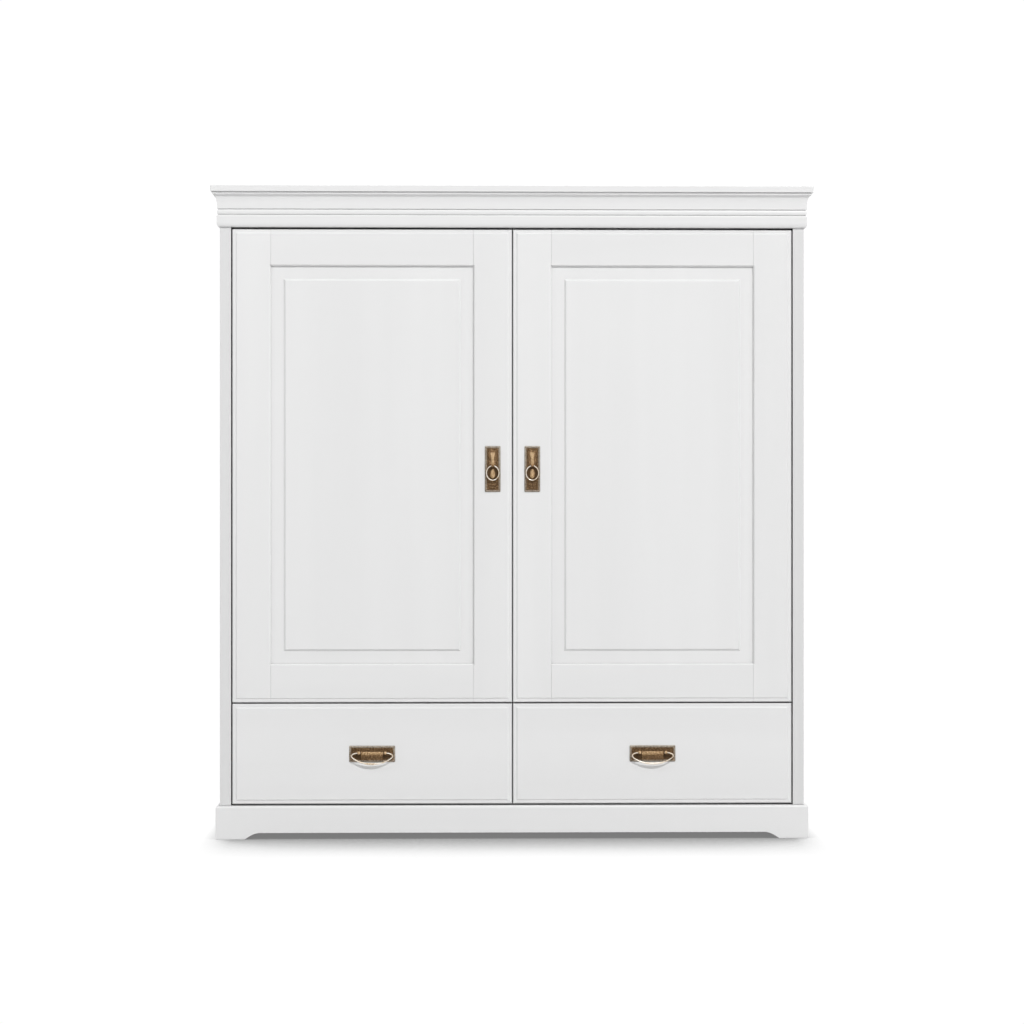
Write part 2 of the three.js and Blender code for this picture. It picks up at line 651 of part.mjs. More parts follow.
function doorPanel() {
  return rectangleStack([
    openingLayer(TONGUE_LENGTH, TONGUE_BACK),
    openingLayer(TONGUE_LENGTH, TONGUE_FRONT),
    openingLayer(0, TONGUE_FRONT),
    openingLayer(-MARGIN_WIDTH, TONGUE_FRONT - MARGIN_RISE),
    openingLayer(-MARGIN_WIDTH - FIELD_STEP, FIELD_RECESS),
  ]);
}

function door(side) {
  const name = `${sideName(side)}_door`;
  const sticking = rectangleStack([openingLayer(0, STICKING), openingLayer(2 * STICKING, -STICKING)]);
  const blank = cut(facedBlank(FRONT_WIDTH, DOOR_HEIGHT), sticking);
  const cupBores = Object.values(HINGE_HEIGHTS).map((height) => {
    const depth = CUP_DEPTH + FIT;
    const bore = bar('y', CUP_RADIUS + FIT, 2 * depth, 40);
    return bore.translate(PIN_FROM_EDGE, FRONT_THICKNESS, height);
  });
  const stile = prism('z', frameSection(STILE_WIDTH), 0, DOOR_HEIGHT);
  const meetingSection = frameSection(STILE_WIDTH)
    .map(([across, depth]) => [FRONT_WIDTH - across, depth]);
  const meetingStile = prism('z', meetingSection, 0, DOOR_HEIGHT);
  const members = {
    hinge_stile: cut(common(stile, blank), ...cupBores),
    meeting_stile: common(meetingStile, blank),
    top_rail: common(doorRail(TOP_RAIL_WIDTH, true), blank),
    bottom_rail: common(doorRail(BOTTOM_RAIL_WIDTH, false), blank),
    panel: doorPanel(),
  };
  const group = new THREE.Group();
  for (const [member, geometry] of Object.entries(members)) {
    group.add(piece(`${name}_${member}`, sided(side, geometry), lacquer));
  }
  const cup = sided(side, hingeCup());
  for (const [level, height] of Object.entries(HINGE_HEIGHTS)) {
    const mesh = piece(`${sideName(side)}_${level}_hinge_cup`, cup, nickel);
    mesh.position.set(-side * PIN_FROM_EDGE, PIN_DEPTH, height);
    group.add(mesh);
  }
  const pull = ringPull(`${name}_pull`);
  pull.position.set(-side * (FRONT_WIDTH - STILE_WIDTH / 2), 0, HANDLE_FROM_BOTTOM);
  group.add(pull);
  group.position.set(side * FRONT_EDGE, 0, DOOR_BOTTOM);
  return group;
}

// ---- Pulls ----
// Each is drawn round the middle of its plate, on the front's face, and stands out towards -Y.

function plateOutline(halfWidth, halfHeight) {
  const corners = [[1, 1, 0], [-1, 1, 90], [-1, -1, 180], [1, -1, 270]];
  return corners.flatMap(([x, z, angle]) => arc(
    [x * (halfWidth - PLATE_CORNER), z * (halfHeight - PLATE_CORNER)],
    [PLATE_CORNER, PLATE_CORNER], angle, angle + 90, 4,
  ));
}

// A round eye across the plate on a short web, bored for a wire of the given radius.
function eye(out, radius, width) {
  const web = block([-width / 2, width / 2], [-out, -PLATE_THICKNESS], [-radius, radius]);
  return joined(bar('x', radius, width, 20).translate(0, -out, 0), web);
}

function ringPull(name) {
  const face = -FIT - PLATE_THICKNESS;
  const plate = prism('y', plateOutline(PLATE_SHORT / 2, PLATE_LONG / 2), face, -FIT);
  const stemOutline = [
    ...STEM_EDGE.map(([halfWidth, z]) => [-halfWidth, z]),
    ...STEM_EDGE.toReversed(),
  ];
  const stem = prism('y', stemOutline, -STEM_OUT, face + WELD);
  const drop = new THREE.SphereGeometry(1, 20, 12)
    .scale(DROP_HALF_WIDTH, STEM_OUT + face, DROP_HALF_HEIGHT)
    .translate(0, face, RING_PIVOT - RING_RADIUS - DROP_BELOW_CENTRE);
  const ringEye = eye(RING_OUT, EYE_RADIUS, EYE_WIDTH).translate(0, 0, RING_PIVOT);
  const bore = bar('x', RING_WIRE + EYE_CLEARANCE, 2 * EYE_WIDTH, 16)
    .translate(0, -RING_OUT, RING_PIVOT);
  const behind = block([-PLATE_SHORT, PLATE_SHORT], [-FIT, PLATE_LONG], [-PLATE_LONG, PLATE_LONG]);
  const wire = new THREE.TorusGeometry(RING_RADIUS, RING_WIRE, 10, 40).rotateX(Math.PI / 2)
    .scale(RING_NARROWING, 1, 1);
  const ring = piece(`${name}_ring`, wire.translate(0, 0, -RING_RADIUS), paleBrass);
  ring.position.set(0, -RING_OUT, RING_PIVOT);
  const group = new THREE.Group();
  group.add(
    piece(`${name}_plate`, cut(joined(plate, stem, drop, ringEye), bore, behind), antiqueBrass),
    ring,
  );
  return group;
}

// Half of the bail's centre line, from its pivot end to the middle of the grip, as [x, z] pairs.
function bailHalf() {
  return [
    [BAIL_POST - BAIL_POST_WIDTH / 2 - BAIL_END_GAP, 0],
    [BAIL_POST, 0],
    ...BAIL_BENDS.map(([across, down]) => [across * BAIL_HALF_WIDTH, -down * BAIL_DROP]),
  ];
}

function bailGeometry() {
  const half = bailHalf();
  const points = [
    ...half.map(([x, z]) => [-x, z]),
    [0, -BAIL_DROP],
    ...half.reverse(),
  ].map(([x, z]) => new THREE.Vector3(x, 0, z));
  const path = new THREE.CatmullRomCurve3(points, false, 'centripetal');
  const section = new THREE.Shape(
    arc([0, 0], [BAIL_WIRE, BAIL_WIRE], 0, 315, 7).map(([u, v]) => new THREE.Vector2(u, v)),
  );
  return new THREE.ExtrudeGeometry(section, { extrudePath: path, steps: 56, bevelEnabled: false });
}

function bailPull(name) {
  const face = -FIT - PLATE_THICKNESS;
  const plate = prism('y', plateOutline(PLATE_LONG / 2, BAIL_PLATE_HEIGHT / 2), face, -FIT);
  const half = CARTOUCHE_WIDTH / 2;
  const cartouche = rectangleStack([
    { x: [-half, half], z: [CARTOUCHE_BOTTOM, CARTOUCHE_TOP], y: face + WELD },
    { x: [-half, half], z: [CARTOUCHE_BOTTOM, CARTOUCHE_TOP], y: face - CARTOUCHE_EDGE },
    {
      x: [-half + CARTOUCHE_SLOPE, half - CARTOUCHE_SLOPE],
      z: [CARTOUCHE_BOTTOM + CARTOUCHE_SLOPE, CARTOUCHE_TOP - CARTOUCHE_SLOPE],
      y: -CARTOUCHE_OUT,
    },
  ]);
  const posts = [-BAIL_POST, BAIL_POST].map((x) =>
    eye(BAIL_OUT, BAIL_POST_RADIUS, BAIL_POST_WIDTH).translate(x, 0, BAIL_PIVOT));
  const bore = bar('x', BAIL_WIRE + BAIL_CLEARANCE, PLATE_LONG, 16)
    .translate(0, -BAIL_OUT, BAIL_PIVOT);
  const behind = block([-PLATE_LONG, PLATE_LONG], [-FIT, PLATE_LONG], [-PLATE_LONG, PLATE_LONG]);
  const bail = piece(`${name}_bail`, bailGeometry(), paleBrass);
  bail.position.set(0, -BAIL_OUT, BAIL_PIVOT);
  const group = new THREE.Group();
  group.add(
    piece(`${name}_plate`, cut(joined(plate, cartouche, ...posts), bore, behind), antiqueBrass),
    bail,
  );
  return group;
}

// ---- Drawers ----
// A left drawer is drawn from the outer lower front corner of its front, as a door is.

const BOX_BOTTOM = FLOOR_TOP + DRAWER_LIFT - DRAWER_BOTTOM;
const BOX_OUTER = DRAWER_SIDE_GAP - SIDE_GAP; // outer face of the outer side, from the front's edge
const BOX_WIDTH = INNER - PARTITION_HALF - 2 * DRAWER_SIDE_GAP;
const BOX_HEIGHT = DRAWER_FRONT_HEIGHT - DRAWER_SIDE_DROP;
const RUNNER_MIDDLE = BOX_BOTTOM + BOX_HEIGHT / 2;
const GROOVE_BOTTOM = BOX_BOTTOM + BOTTOM_HEIGHT;
const GROOVE_TOP = GROOVE_BOTTOM + BOTTOM_THICKNESS + FIT;
const DRAWER_BACK_END = BACK_FACE - DRAWER_BACK_SPACE;
const DRAWER_LENGTH = DRAWER_BACK_END - FRONT_THICKNESS;

// The section of a drawer side, as [x, z] pairs: a runner's groove outside, the bottom's groove inside.
function drawerSideSection() {
  const top = BOX_BOTTOM + BOX_HEIGHT;
  const runnerHalf = RUNNER_HEIGHT / 2 + RUNNER_SPARE;
  const runnerLow = RUNNER_MIDDLE - runnerHalf;
  const runnerHigh = RUNNER_MIDDLE + runnerHalf;
  const inside = DRAWER_SIDE_THICKNESS;
  return [
    [0, BOX_BOTTOM], [inside, BOX_BOTTOM], [inside, GROOVE_BOTTOM],
    [inside - BOTTOM_GROOVE, GROOVE_BOTTOM], [inside - BOTTOM_GROOVE, GROOVE_TOP],
    [inside, GROOVE_TOP], [inside, top], [0, top],
    [0, runnerHigh], [RUNNER_GROOVE, runnerHigh], [RUNNER_GROOVE, runnerLow], [0, runnerLow],
  ];
}

function drawer(side) {
  const name = `${sideName(side)}_drawer`;
  const group = new THREE.Group();
  const sideRun = [FRONT_THICKNESS + FIT, DRAWER_BACK_END];
  const boxEnd = BOX_OUTER + BOX_WIDTH;
  const inner = [BOX_OUTER + DRAWER_SIDE_THICKNESS, boxEnd - DRAWER_SIDE_THICKNESS];
  const bottomSpan = [inner[0] - BOTTOM_TONGUE, inner[1] + BOTTOM_TONGUE];
  const outerSection = drawerSideSection().map(([x, z]) => [BOX_OUTER + x, z]);
  const innerSection = drawerSideSection().map(([x, z]) => [boxEnd - x, z]);
  const frontGroove = block(
    [inner[0] - BOTTOM_GROOVE, inner[1] + BOTTOM_GROOVE],
    [FRONT_THICKNESS - BOTTOM_GROOVE, 2 * FRONT_THICKNESS],
    [GROOVE_BOTTOM, GROOVE_TOP],
  );
  const add = (part, geometry, makeFinish) =>
    group.add(piece(`${name}_${part}`, sided(side, geometry), makeFinish));
  add('front', cut(facedBlank(FRONT_WIDTH, DRAWER_FRONT_HEIGHT), frontGroove), lacquer);
  add('outer_side', prism('y', outerSection, ...sideRun), beech);
  add('inner_side', prism('y', innerSection, ...sideRun), beech);
  add('back', block(
    [inner[0] + FIT, inner[1] - FIT],
    [DRAWER_BACK_END - DRAWER_SIDE_THICKNESS, DRAWER_BACK_END],
    [GROOVE_TOP + FIT, BOX_BOTTOM + BOX_HEIGHT - DRAWER_BACK_DROP],
  ), beech);
  add('bottom', block(
    bottomSpan,
    [FRONT_THICKNESS - BOTTOM_TONGUE, DRAWER_BACK_END],
    [GROOVE_BOTTOM + FIT, GROOVE_TOP - FIT],
  ), beech);
  const pull = bailPull(`${name}_pull`);
  pull.position.set(-side * FRONT_WIDTH / 2, 0, DRAWER_FRONT_HEIGHT / 2);
  group.add(pull);
  group.position.set(side * FRONT_EDGE, 0, DRAWER_BOTTOM);
  return group;
}

// The wooden strips that the drawers slide on, one on each wall of each bay.
function drawerRunners(side) {
  const group = new THREE.Group();
  const reach = DRAWER_SIDE_GAP + RUNNER_GROOVE - RUNNER_END_GAP;
  const centre = DRAWER_BOTTOM + RUNNER_MIDDLE;
  const start = SETBACK + STOP_GAP;
  const along = [start, start + DRAWER_LENGTH - RUNNER_SHORT];
  const heights = [centre - RUNNER_HEIGHT / 2, centre + RUNNER_HEIGHT / 2];
  const spans = {
    outer: [side * (INNER - FIT), side * (INNER - reach)],
    inner: [side * (PARTITION_HALF + FIT), side * (PARTITION_HALF + reach)],
  };
  for (const [wall, span] of Object.entries(spans)) {
    group.add(board(`${sideName(side)}_${wall}_runner`, beech, span, along, heights));
  }
  return group;
}

// ---- Assembly ----

const group = new THREE.Group();
group.add(carcass(), cornice(), plinth(), interior());
for (const side of [LEFT, RIGHT]) {
  group.add(door(side), drawer(side), hingeArms(side), drawerRunners(side));
}
group.position.y = -MIDDLE_Y;
group.updateMatrixWorld(true);

export default group;
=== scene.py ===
"""A white painted wardrobe: two framed doors over two drawers, with antique brass pulls.

Everything is in metres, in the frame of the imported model. Depths of relief are given in millimetres.
"""
import json
import math

import bmesh
import bpy
from mathutils import Matrix, Vector, noise


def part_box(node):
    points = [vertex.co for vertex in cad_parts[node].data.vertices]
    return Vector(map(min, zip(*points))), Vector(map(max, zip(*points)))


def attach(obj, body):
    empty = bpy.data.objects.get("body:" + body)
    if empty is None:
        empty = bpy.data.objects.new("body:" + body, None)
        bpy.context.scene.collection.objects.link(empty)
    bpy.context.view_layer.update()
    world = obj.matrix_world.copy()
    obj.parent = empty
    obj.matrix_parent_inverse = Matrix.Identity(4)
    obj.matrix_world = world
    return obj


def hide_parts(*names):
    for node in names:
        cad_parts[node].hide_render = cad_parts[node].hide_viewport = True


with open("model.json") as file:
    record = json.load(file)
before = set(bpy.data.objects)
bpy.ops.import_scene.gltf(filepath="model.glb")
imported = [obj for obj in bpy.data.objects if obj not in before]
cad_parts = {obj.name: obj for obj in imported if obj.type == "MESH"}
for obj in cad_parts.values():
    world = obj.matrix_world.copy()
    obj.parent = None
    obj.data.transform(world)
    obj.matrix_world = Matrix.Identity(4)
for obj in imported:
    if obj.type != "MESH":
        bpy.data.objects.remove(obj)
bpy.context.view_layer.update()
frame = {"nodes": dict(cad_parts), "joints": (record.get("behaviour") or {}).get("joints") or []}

NODES = frame["nodes"]
JOINTS = {joint["name"]: joint for joint in frame["joints"]}
SIDES = ("left", "right")
OUTWARD = {"left": -1, "right": 1}  # the way from the middle to each side, along X
MM = 0.001
WELD_DISTANCE = 1e-7
OCCLUSION_SAMPLES = 6


# ---- Mesh helpers ----

def new_piece(name, shape, material, body, replaces=(), smooth_angle=35, fields=None):
    """Makes an object from a shape, with its normals outside and its sharp edges marked.

    A shape is a list of vertices and a list of faces. Fields are numbers for each vertex, by name,
    that a material can read.
    """
    verts, faces = shape
    mesh = bpy.data.meshes.new(name)
    mesh.from_pydata([tuple(v) for v in verts], [], faces)
    for field, values in (fields or {}).items():
        mesh.attributes.new(field, "FLOAT", "POINT").data.foreach_set("value", values)
    work = bmesh.new()
    work.from_mesh(mesh)
    bmesh.ops.remove_doubles(work, verts=work.verts, dist=WELD_DISTANCE)
    bmesh.ops.recalc_face_normals(work, faces=work.faces)
    for face in work.faces:
        face.smooth = True
    limit = math.radians(smooth_angle)
    for edge in work.edges:
        edge.smooth = len(edge.link_faces) == 2 and edge.calc_face_angle(0) < limit
    work.to_mesh(mesh)
    work.free()
    piece = bpy.data.objects.new(name, mesh)
    bpy.context.scene.collection.objects.link(piece)
    mesh.materials.append(material)
    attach(piece, body)
    if replaces:
        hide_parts(*replaces)
    return piece


def merged(*shapes):
    """Several shapes as one."""
    verts, faces = [], []
    for more_verts, more_faces in shapes:
        start = len(verts)
        verts.extend(more_verts)
        faces.extend([tuple(start + i for i in face) for face in more_faces])
    return verts, faces


def moved(shape, matrix):
    verts, faces = shape
    return [matrix @ Vector(v) for v in verts], faces


def turning(start, end):
    """The turn that takes one direction to another."""
    return Vector(start).rotation_difference(Vector(end)).to_matrix().to_4x4()


def lathe(profile, segments=28):
    """Turns (radius, height) points round +Z.

    The profile starts and ends on the axis, or ends where it starts, and new_piece welds it there.
    """
    verts, faces = [], []
    rings = []
    for radius, height in profile:
        if radius == 0:
            rings.append([len(verts)])
            verts.append(Vector((0, 0, height)))
            continue
        rings.append(list(range(len(verts), len(verts) + segments)))
        for i in range(segments):
            angle = 2 * math.pi * i / segments
            verts.append(Vector((radius * math.cos(angle), radius * math.sin(angle), height)))
    for low, high in zip(rings, rings[1:]):
        for i in range(segments):
            j = (i + 1) % segments
            a, b = low[i % len(low)], low[j % len(low)]
            c, d = high[j % len(high)], high[i % len(high)]
            corners = list(dict.fromkeys((a, b, c, d)))
            if len(corners) > 2:
                faces.append(tuple(corners))
    return verts, faces


def tube(points, radii, sides=20, closed=False):
    """A round wire along points, with a radius at each point."""
    verts, faces = [], []
    count = len(points)
    side = Vector((0, 1, 0))
    for i, (point, radius) in enumerate(zip(points, radii)):
        before = points[(i - 1) % count] if closed or i else points[0]
        after = points[(i + 1) % count] if closed or i + 1 < count else points[-1]
        along = (after - before).normalized()
        up = along.cross(side).normalized()
        for k in range(sides):
            angle = 2 * math.pi * k / sides
            verts.append(point + radius * (math.cos(angle) * side + math.sin(angle) * up))
    spans = count if closed else count - 1
    for i in range(spans):
        for k in range(sides):
            m = (k + 1) % sides
            n = (i + 1) % count
            faces.append((i * sides + k, i * sides + m, n * sides + m, n * sides + k))
    if not closed:
        faces.append(tuple(range(sides)))
        faces.append(tuple((count - 1) * sides + k for k in reversed(range(sides))))
    return verts, faces


def smooth_step(edge_low, edge_high, value):
    """0 at the first edge and before it, 1 at the second and past it, eased between."""
    t = min(max((value - edge_low) / (edge_high - edge_low), 0.0), 1.0)
    return t * t * (3 - 2 * t)


# ---- Material helpers ----

def math_node(tree, operation, *values):
    """The result of a Math node, fed with numbers or with the outputs of other nodes."""
    node = tree.nodes.new("ShaderNodeMath")
    node.operation = operation
    for index, value in enumerate(values):
        if isinstance(value, bpy.types.NodeSocket):
            tree.links.new(value, node.inputs[index])
        else:
            node.inputs[index].default_value = value
    return node.outputs[0]


class Nodes:
    """A short way to write a node material."""

    def __init__(self, name):
        self.material = bpy.data.materials.new(name)
        self.material.use_nodes = True
        self.tree = self.material.node_tree
        self.tree.nodes.clear()
        self.output = self.tree.nodes.new("ShaderNodeOutputMaterial")
        self.shader = self.tree.nodes.new("ShaderNodeBsdfPrincipled")
        self.link(self.shader.outputs["BSDF"], self.output.inputs["Surface"])
        self.place = self.tree.nodes.new("ShaderNodeTexCoord").outputs["Object"]

    def link(self, source, target):
        self.tree.links.new(source, target)

    def feed(self, node, socket, value):
        target = node.inputs[socket]
        if isinstance(value, bpy.types.NodeSocket):
            self.link(value, target)
        else:
            target.default_value = value

    def stretch(self, scale):
        """Object coordinates, multiplied along each axis."""
        node = self.tree.nodes.new("ShaderNodeMapping")
        self.link(self.place, node.inputs["Vector"])
        node.inputs["Scale"].default_value = scale
        return node.outputs["Vector"]

    def noise(self, scale, detail, roughness, vector=None, distortion=0.0):
        node = self.tree.nodes.new("ShaderNodeTexNoise")
        self.link(vector or self.place, node.inputs["Vector"])
        node.inputs["Scale"].default_value = scale
        node.inputs["Detail"].default_value = detail
        node.inputs["Roughness"].default_value = roughness
        node.inputs["Distortion"].default_value = distortion
        return node.outputs["Fac"]

    def cells(self, scale, vector=None):
        node = self.tree.nodes.new("ShaderNodeTexVoronoi")
        self.link(vector or self.place, node.inputs["Vector"])
        node.inputs["Scale"].default_value = scale
        return node.outputs["Distance"]

    def attribute(self, name):
        """A field of the mesh, as new_piece stores it."""
        node = self.tree.nodes.new("ShaderNodeAttribute")
        node.attribute_name = name
        return node.outputs["Fac"]

    def ramp(self, factor, *stops):
        """A colour ramp; each stop is a position and a grey value or a colour."""
        node = self.tree.nodes.new("ShaderNodeValToRGB")
        self.link(factor, node.inputs["Fac"])
        elements = node.color_ramp.elements
        while len(elements) < len(stops):
            elements.new(0.5)
        for element, (position, colour) in zip(elements, stops):
            grey = not isinstance(colour, (tuple, list))
            element.position = position
            element.color = (colour, colour, colour, 1) if grey else (*colour, 1)
        return node.outputs["Color"]

    def math(self, operation, *values):
        return math_node(self.tree, operation, *values)

    def mix(self, factor, first, second, mode="MIX"):
        node = self.tree.nodes.new("ShaderNodeMix")
        node.data_type = "RGBA"
        node.blend_type = mode
        self.feed(node, "Factor", factor)
        for name, value in (("A", first), ("B", second)):
            target = [s for s in node.inputs if s.name == name and s.type == "RGBA"][0]
            if isinstance(value, bpy.types.NodeSocket):
                self.link(value, target)
            else:
                target.default_value = (*value, 1)
        return [s for s in node.outputs if s.type == "RGBA"][0]

    def bump(self, height, depth_mm, below=None):
        node = self.tree.nodes.new("ShaderNodeBump")
        node.inputs["Strength"].default_value = 1.0
        node.inputs["Distance"].default_value = depth_mm * MM
        self.link(height, node.inputs["Height"])
        if below is not None:
            self.link(below, node.inputs["Normal"])
        return node.outputs["Normal"]

    def occlusion(self, reach):
        """1 in the open, less where something stands within reach."""
        node = self.tree.nodes.new("ShaderNodeAmbientOcclusion")
        node.samples = OCCLUSION_SAMPLES
        node.inputs["Distance"].default_value = reach
        return node.outputs["AO"]


# ---- Materials ----

FIBRE_STRETCH = 0.06  # wood fibres run along an axis, so the pattern is drawn out along it
GRAIN_STRETCH = {
    "x": (FIBRE_STRETCH, 1.0, 1.0),
    "y": (1.0, FIBRE_STRETCH, 1.0),
    "z": (1.0, 1.0, FIBRE_STRETCH),
}
FLECK_STRETCH = 0.22  # beech flecks are shorter than its fibres


def lacquer(along, shade=1.0):
    """Satin white paint on wood: brush marks along the piece, a soft waviness and painted shade darkening
    the corners.
    """
    ending = "" if shade == 1.0 else "_shade"
    n = Nodes(f"white_lacquer_{along}{ending}")
    fibres = n.stretch(GRAIN_STRETCH[along])
    brush = n.noise(520, 3, 0.6, fibres)
    sand = n.noise(1500, 2, 0.5)
    sway = n.noise(5.5, 2, 0.5)
    # a shade below 1 darkens the whole colour: painted shade, used for the side panels
    tint = n.ramp(n.noise(7, 3, 0.5, fibres), (0.3, 0.792 * shade), (0.7, 0.822 * shade))
    corner_shade_reach = 0.008
    # painted shade: the colour is darkened where ambient occlusion finds something close, in corners and
    # joints
    corner_shade = n.ramp(n.occlusion(corner_shade_reach), (0.3, 0.74), (0.8, 1))
    n.feed(n.shader, "Base Color", n.mix(1.0, tint, corner_shade, "MULTIPLY"))
    n.feed(n.shader, "Roughness", n.ramp(n.noise(60, 3, 0.6, fibres), (0.3, 0.36), (0.7, 0.46)))
    n.shader.inputs["Specular IOR Level"].default_value = 0.45
    n.shader.inputs["Coat Weight"].default_value = 0.12
    n.shader.inputs["Coat Roughness"].default_value = 0.25
    normal = n.bump(sway, 0.5)
    normal = n.bump(brush, 0.035, normal)
    normal = n.bump(sand, 0.008, normal)
    n.feed(n.shader, "Normal", normal)
    return n.material


def beech(along):
    """Clear varnished beech: long figure, short flecks and fine pores."""
    n = Nodes(f"beech_{along}")
    fibres = n.stretch(GRAIN_STRETCH[along])
    figure = n.noise(26, 5, 0.6, fibres, 0.6)
    pores = n.noise(900, 2, 0.6, fibres)
    fleck_stretch = tuple(max(scale, FLECK_STRETCH) for scale in GRAIN_STRETCH[along])
    flecks = n.cells(330, n.stretch(fleck_stretch))
    base = n.ramp(
        figure,
        (0.25, (0.46, 0.29, 0.15)), (0.5, (0.60, 0.41, 0.23)), (0.75, (0.68, 0.49, 0.30)),
    )
    fleck = n.ramp(flecks, (0.05, (0.72, 0.66, 0.6)), (0.22, 1))
    colour = n.mix(0.6, base, fleck, "MULTIPLY")
    pore = n.ramp(pores, (0.3, (0.82, 0.8, 0.78)), (0.5, 1))
    n.feed(n.shader, "Base Color", n.mix(0.7, colour, pore, "MULTIPLY"))
    n.feed(n.shader, "Roughness", n.ramp(figure, (0.3, 0.42), (0.7, 0.56)))
    n.feed(n.shader, "Normal", n.bump(pores, 0.05))
    return n.material


def fibreboard():
    """The white faced back panel: matt, with the faint dimple of fibreboard."""
    n = Nodes("white_backing")
    mottle = n.noise(40, 4, 0.6)
    dimple = n.noise(700, 3, 0.6)
    colour = n.ramp(mottle, (0.3, (0.755, 0.755, 0.75)), (0.7, (0.785, 0.785, 0.78)))
    n.feed(n.shader, "Base Color", colour)
    n.feed(n.shader, "Roughness", n.ramp(dimple, (0.3, 0.55), (0.7, 0.7)))
    n.feed(n.shader, "Normal", n.bump(dimple, 0.06))
    return n.material


def antique_brass():
    """Dark patina in the hollows, rubbed lighter on the high parts and greyer along the border, the grey
    partly a painted reflection that is strongest along the top.
    """
    n = Nodes("antique_brass")
    stipple = n.cells(700)
    grain = n.noise(900, 4, 0.7)
    blotch = n.noise(360, 4, 0.75)
    wear_middle, wear_contrast = 0.535, 2.6
    wear_and_painted_shade = n.math("MULTIPLY", n.math("SUBTRACT", blotch, wear_middle), wear_contrast)
    # the relief field holds wear from the height, and on a drawer plate also painted shade on the barrel's
    # foot
    wear_and_painted_shade = n.math("ADD", n.attribute("relief"), wear_and_painted_shade)
    base = n.ramp(
        wear_and_painted_shade,
        (0.0, (0.085, 0.043, 0.013)), (0.2, (0.14, 0.080, 0.033)),
        (0.45, (0.23, 0.128, 0.055)), (0.75, (0.42, 0.265, 0.125)), (1.0, (0.68, 0.48, 0.28)),
    )
    grey = n.ramp(blotch, (0.35, (0.18, 0.155, 0.12)), (0.6, (0.52, 0.46, 0.38)))
    # the grey border is partly a painted reflection, strongest along the plate's top
    base = n.mix(n.attribute("border"), base, grey)
    speck = n.ramp(stipple, (0.1, (0.55, 0.5, 0.45)), (0.4, 1))
    n.feed(n.shader, "Base Color", n.mix(0.6, base, speck, "MULTIPLY"))
    n.shader.inputs["Metallic"].default_value = 0.45
    n.feed(n.shader, "Roughness", n.ramp(grain, (0.3, 0.38), (0.7, 0.6)))
    normal = n.bump(stipple, 0.25)
    n.feed(n.shader, "Normal", n.bump(grain, 0.06, normal))
    return n.material


def pale_brass():
    """The rings and bails: rubbed to a pale cream gold, with brown left in the pits."""
    n = Nodes("pale_brass")
    pits = n.noise(420, 5, 0.65)
    blotch = n.noise(90, 3, 0.5)
    base = n.ramp(
        n.math("ADD", n.math("MULTIPLY", pits, 0.5), n.math("MULTIPLY", blotch, 0.5)),
        (0.34, (0.50, 0.35, 0.21)), (0.43, (0.80, 0.66, 0.49)), (0.54, (1.0, 0.93, 0.83)),
    )
    n.feed(n.shader, "Base Color", base)
    n.shader.inputs["Metallic"].default_value = 0.4
    n.feed(n.shader, "Roughness", n.ramp(pits, (0.35, 0.42), (0.65, 0.26)))
    n.feed(n.shader, "Normal", n.bump(pits, 0.06))
    return n.material


def nickel():
    """Nickel plated steel: drawn lines and small scuffs."""
    n = Nodes("nickel_steel")
    lines = n.noise(1600, 2, 0.6, n.stretch((1, 1, 0.05)))
    scuffs = n.noise(220, 4, 0.7)
    colour = n.ramp(scuffs, (0.35, (0.52, 0.51, 0.49)), (0.6, (0.66, 0.65, 0.63)))
    n.feed(n.shader, "Base Color", colour)
    n.shader.inputs["Metallic"].default_value = 1.0
    n.feed(n.shader, "Roughness", n.ramp(scuffs, (0.3, 0.38), (0.65, 0.22)))
    n.feed(n.shader, "Normal", n.bump(lines, 0.01))
    return n.material


def grey_plastic():
    """The soft grey plastic of the door bumpers."""
    n = Nodes("grey_plastic")
    texture = n.noise(1200, 3, 0.6)
    colour = n.ramp(texture, (0.3, (0.55, 0.55, 0.54)), (0.7, (0.66, 0.66, 0.65)))
    n.feed(n.shader, "Base Color", colour)
    n.feed(n.shader, "Roughness", n.ramp(texture, (0.3, 0.45), (0.7, 0.6)))
    n.feed(n.shader, "Normal", n.bump(texture, 0.03))
    return n.material


LACQUER = {axis: lacquer(axis) for axis in "xyz"}
# painted shade: the sides' lacquer is the doors' lacquer with its colour darkened for the shade on the
# sides
SHADED_SIDE_LACQUER = lacquer("z", shade=0.9)  # the side panels are a little darker than the doors
BEECH = {axis: beech(axis) for axis in "xyz"}
BACKING = fibreboard()
ANTIQUE = antique_brass()
PALE = pale_brass()
NICKEL = nickel()
PLASTIC = grey_plastic()


# ---- CAD nodes that keep their shape ----

# how far the sharp edges of each kind of piece are eased, in millimetres
BOARD_EDGE = 0.9
BACK_EDGE = 0.4
RAIL_EDGE = 1.2
MOULDING_EDGE = 0.35
RUNNER_EDGE = 0.8
DOOR_EDGE = 0.3
DRAWER_FRONT_EDGE = 0.4
DRAWER_BOTTOM_EDGE = 0.3
DRAWER_WALL_EDGE = 1.0
HINGE_EDGE = 0.25


def soften_edges(piece, edge_mm):
    bevel = piece.modifiers.new("soft_edges", "BEVEL")
    bevel.width = edge_mm * MM
    bevel.segments = 2
    bevel.limit_method = "ANGLE"
    bevel.angle_limit = math.radians(32)


def finish_node(name, material, edge_mm):
    """Gives a CAD node its material, and softens its sharp edges."""
    node = NODES[name]
    mesh = node.data
    mesh.materials.clear()
    mesh.materials.append(material)
    if mesh.attributes.get("custom_normal"):
        mesh.attributes.remove(mesh.attributes["custom_normal"])
    for polygon in mesh.polygons:
        polygon.use_smooth = True
    weld = node.modifiers.new("weld", "WELD")
    weld.merge_threshold = 1e-5
    flat = node.modifiers.new("join_flat_faces", "DECIMATE")
    flat.decimate_type = "DISSOLVE"
    flat.angle_limit = math.radians(0.6)
    soften_edges(node, edge_mm)
    normals = node.modifiers.new("even_normals", "WEIGHTED_NORMAL")
    normals.weight = 100
    normals.keep_sharp = True


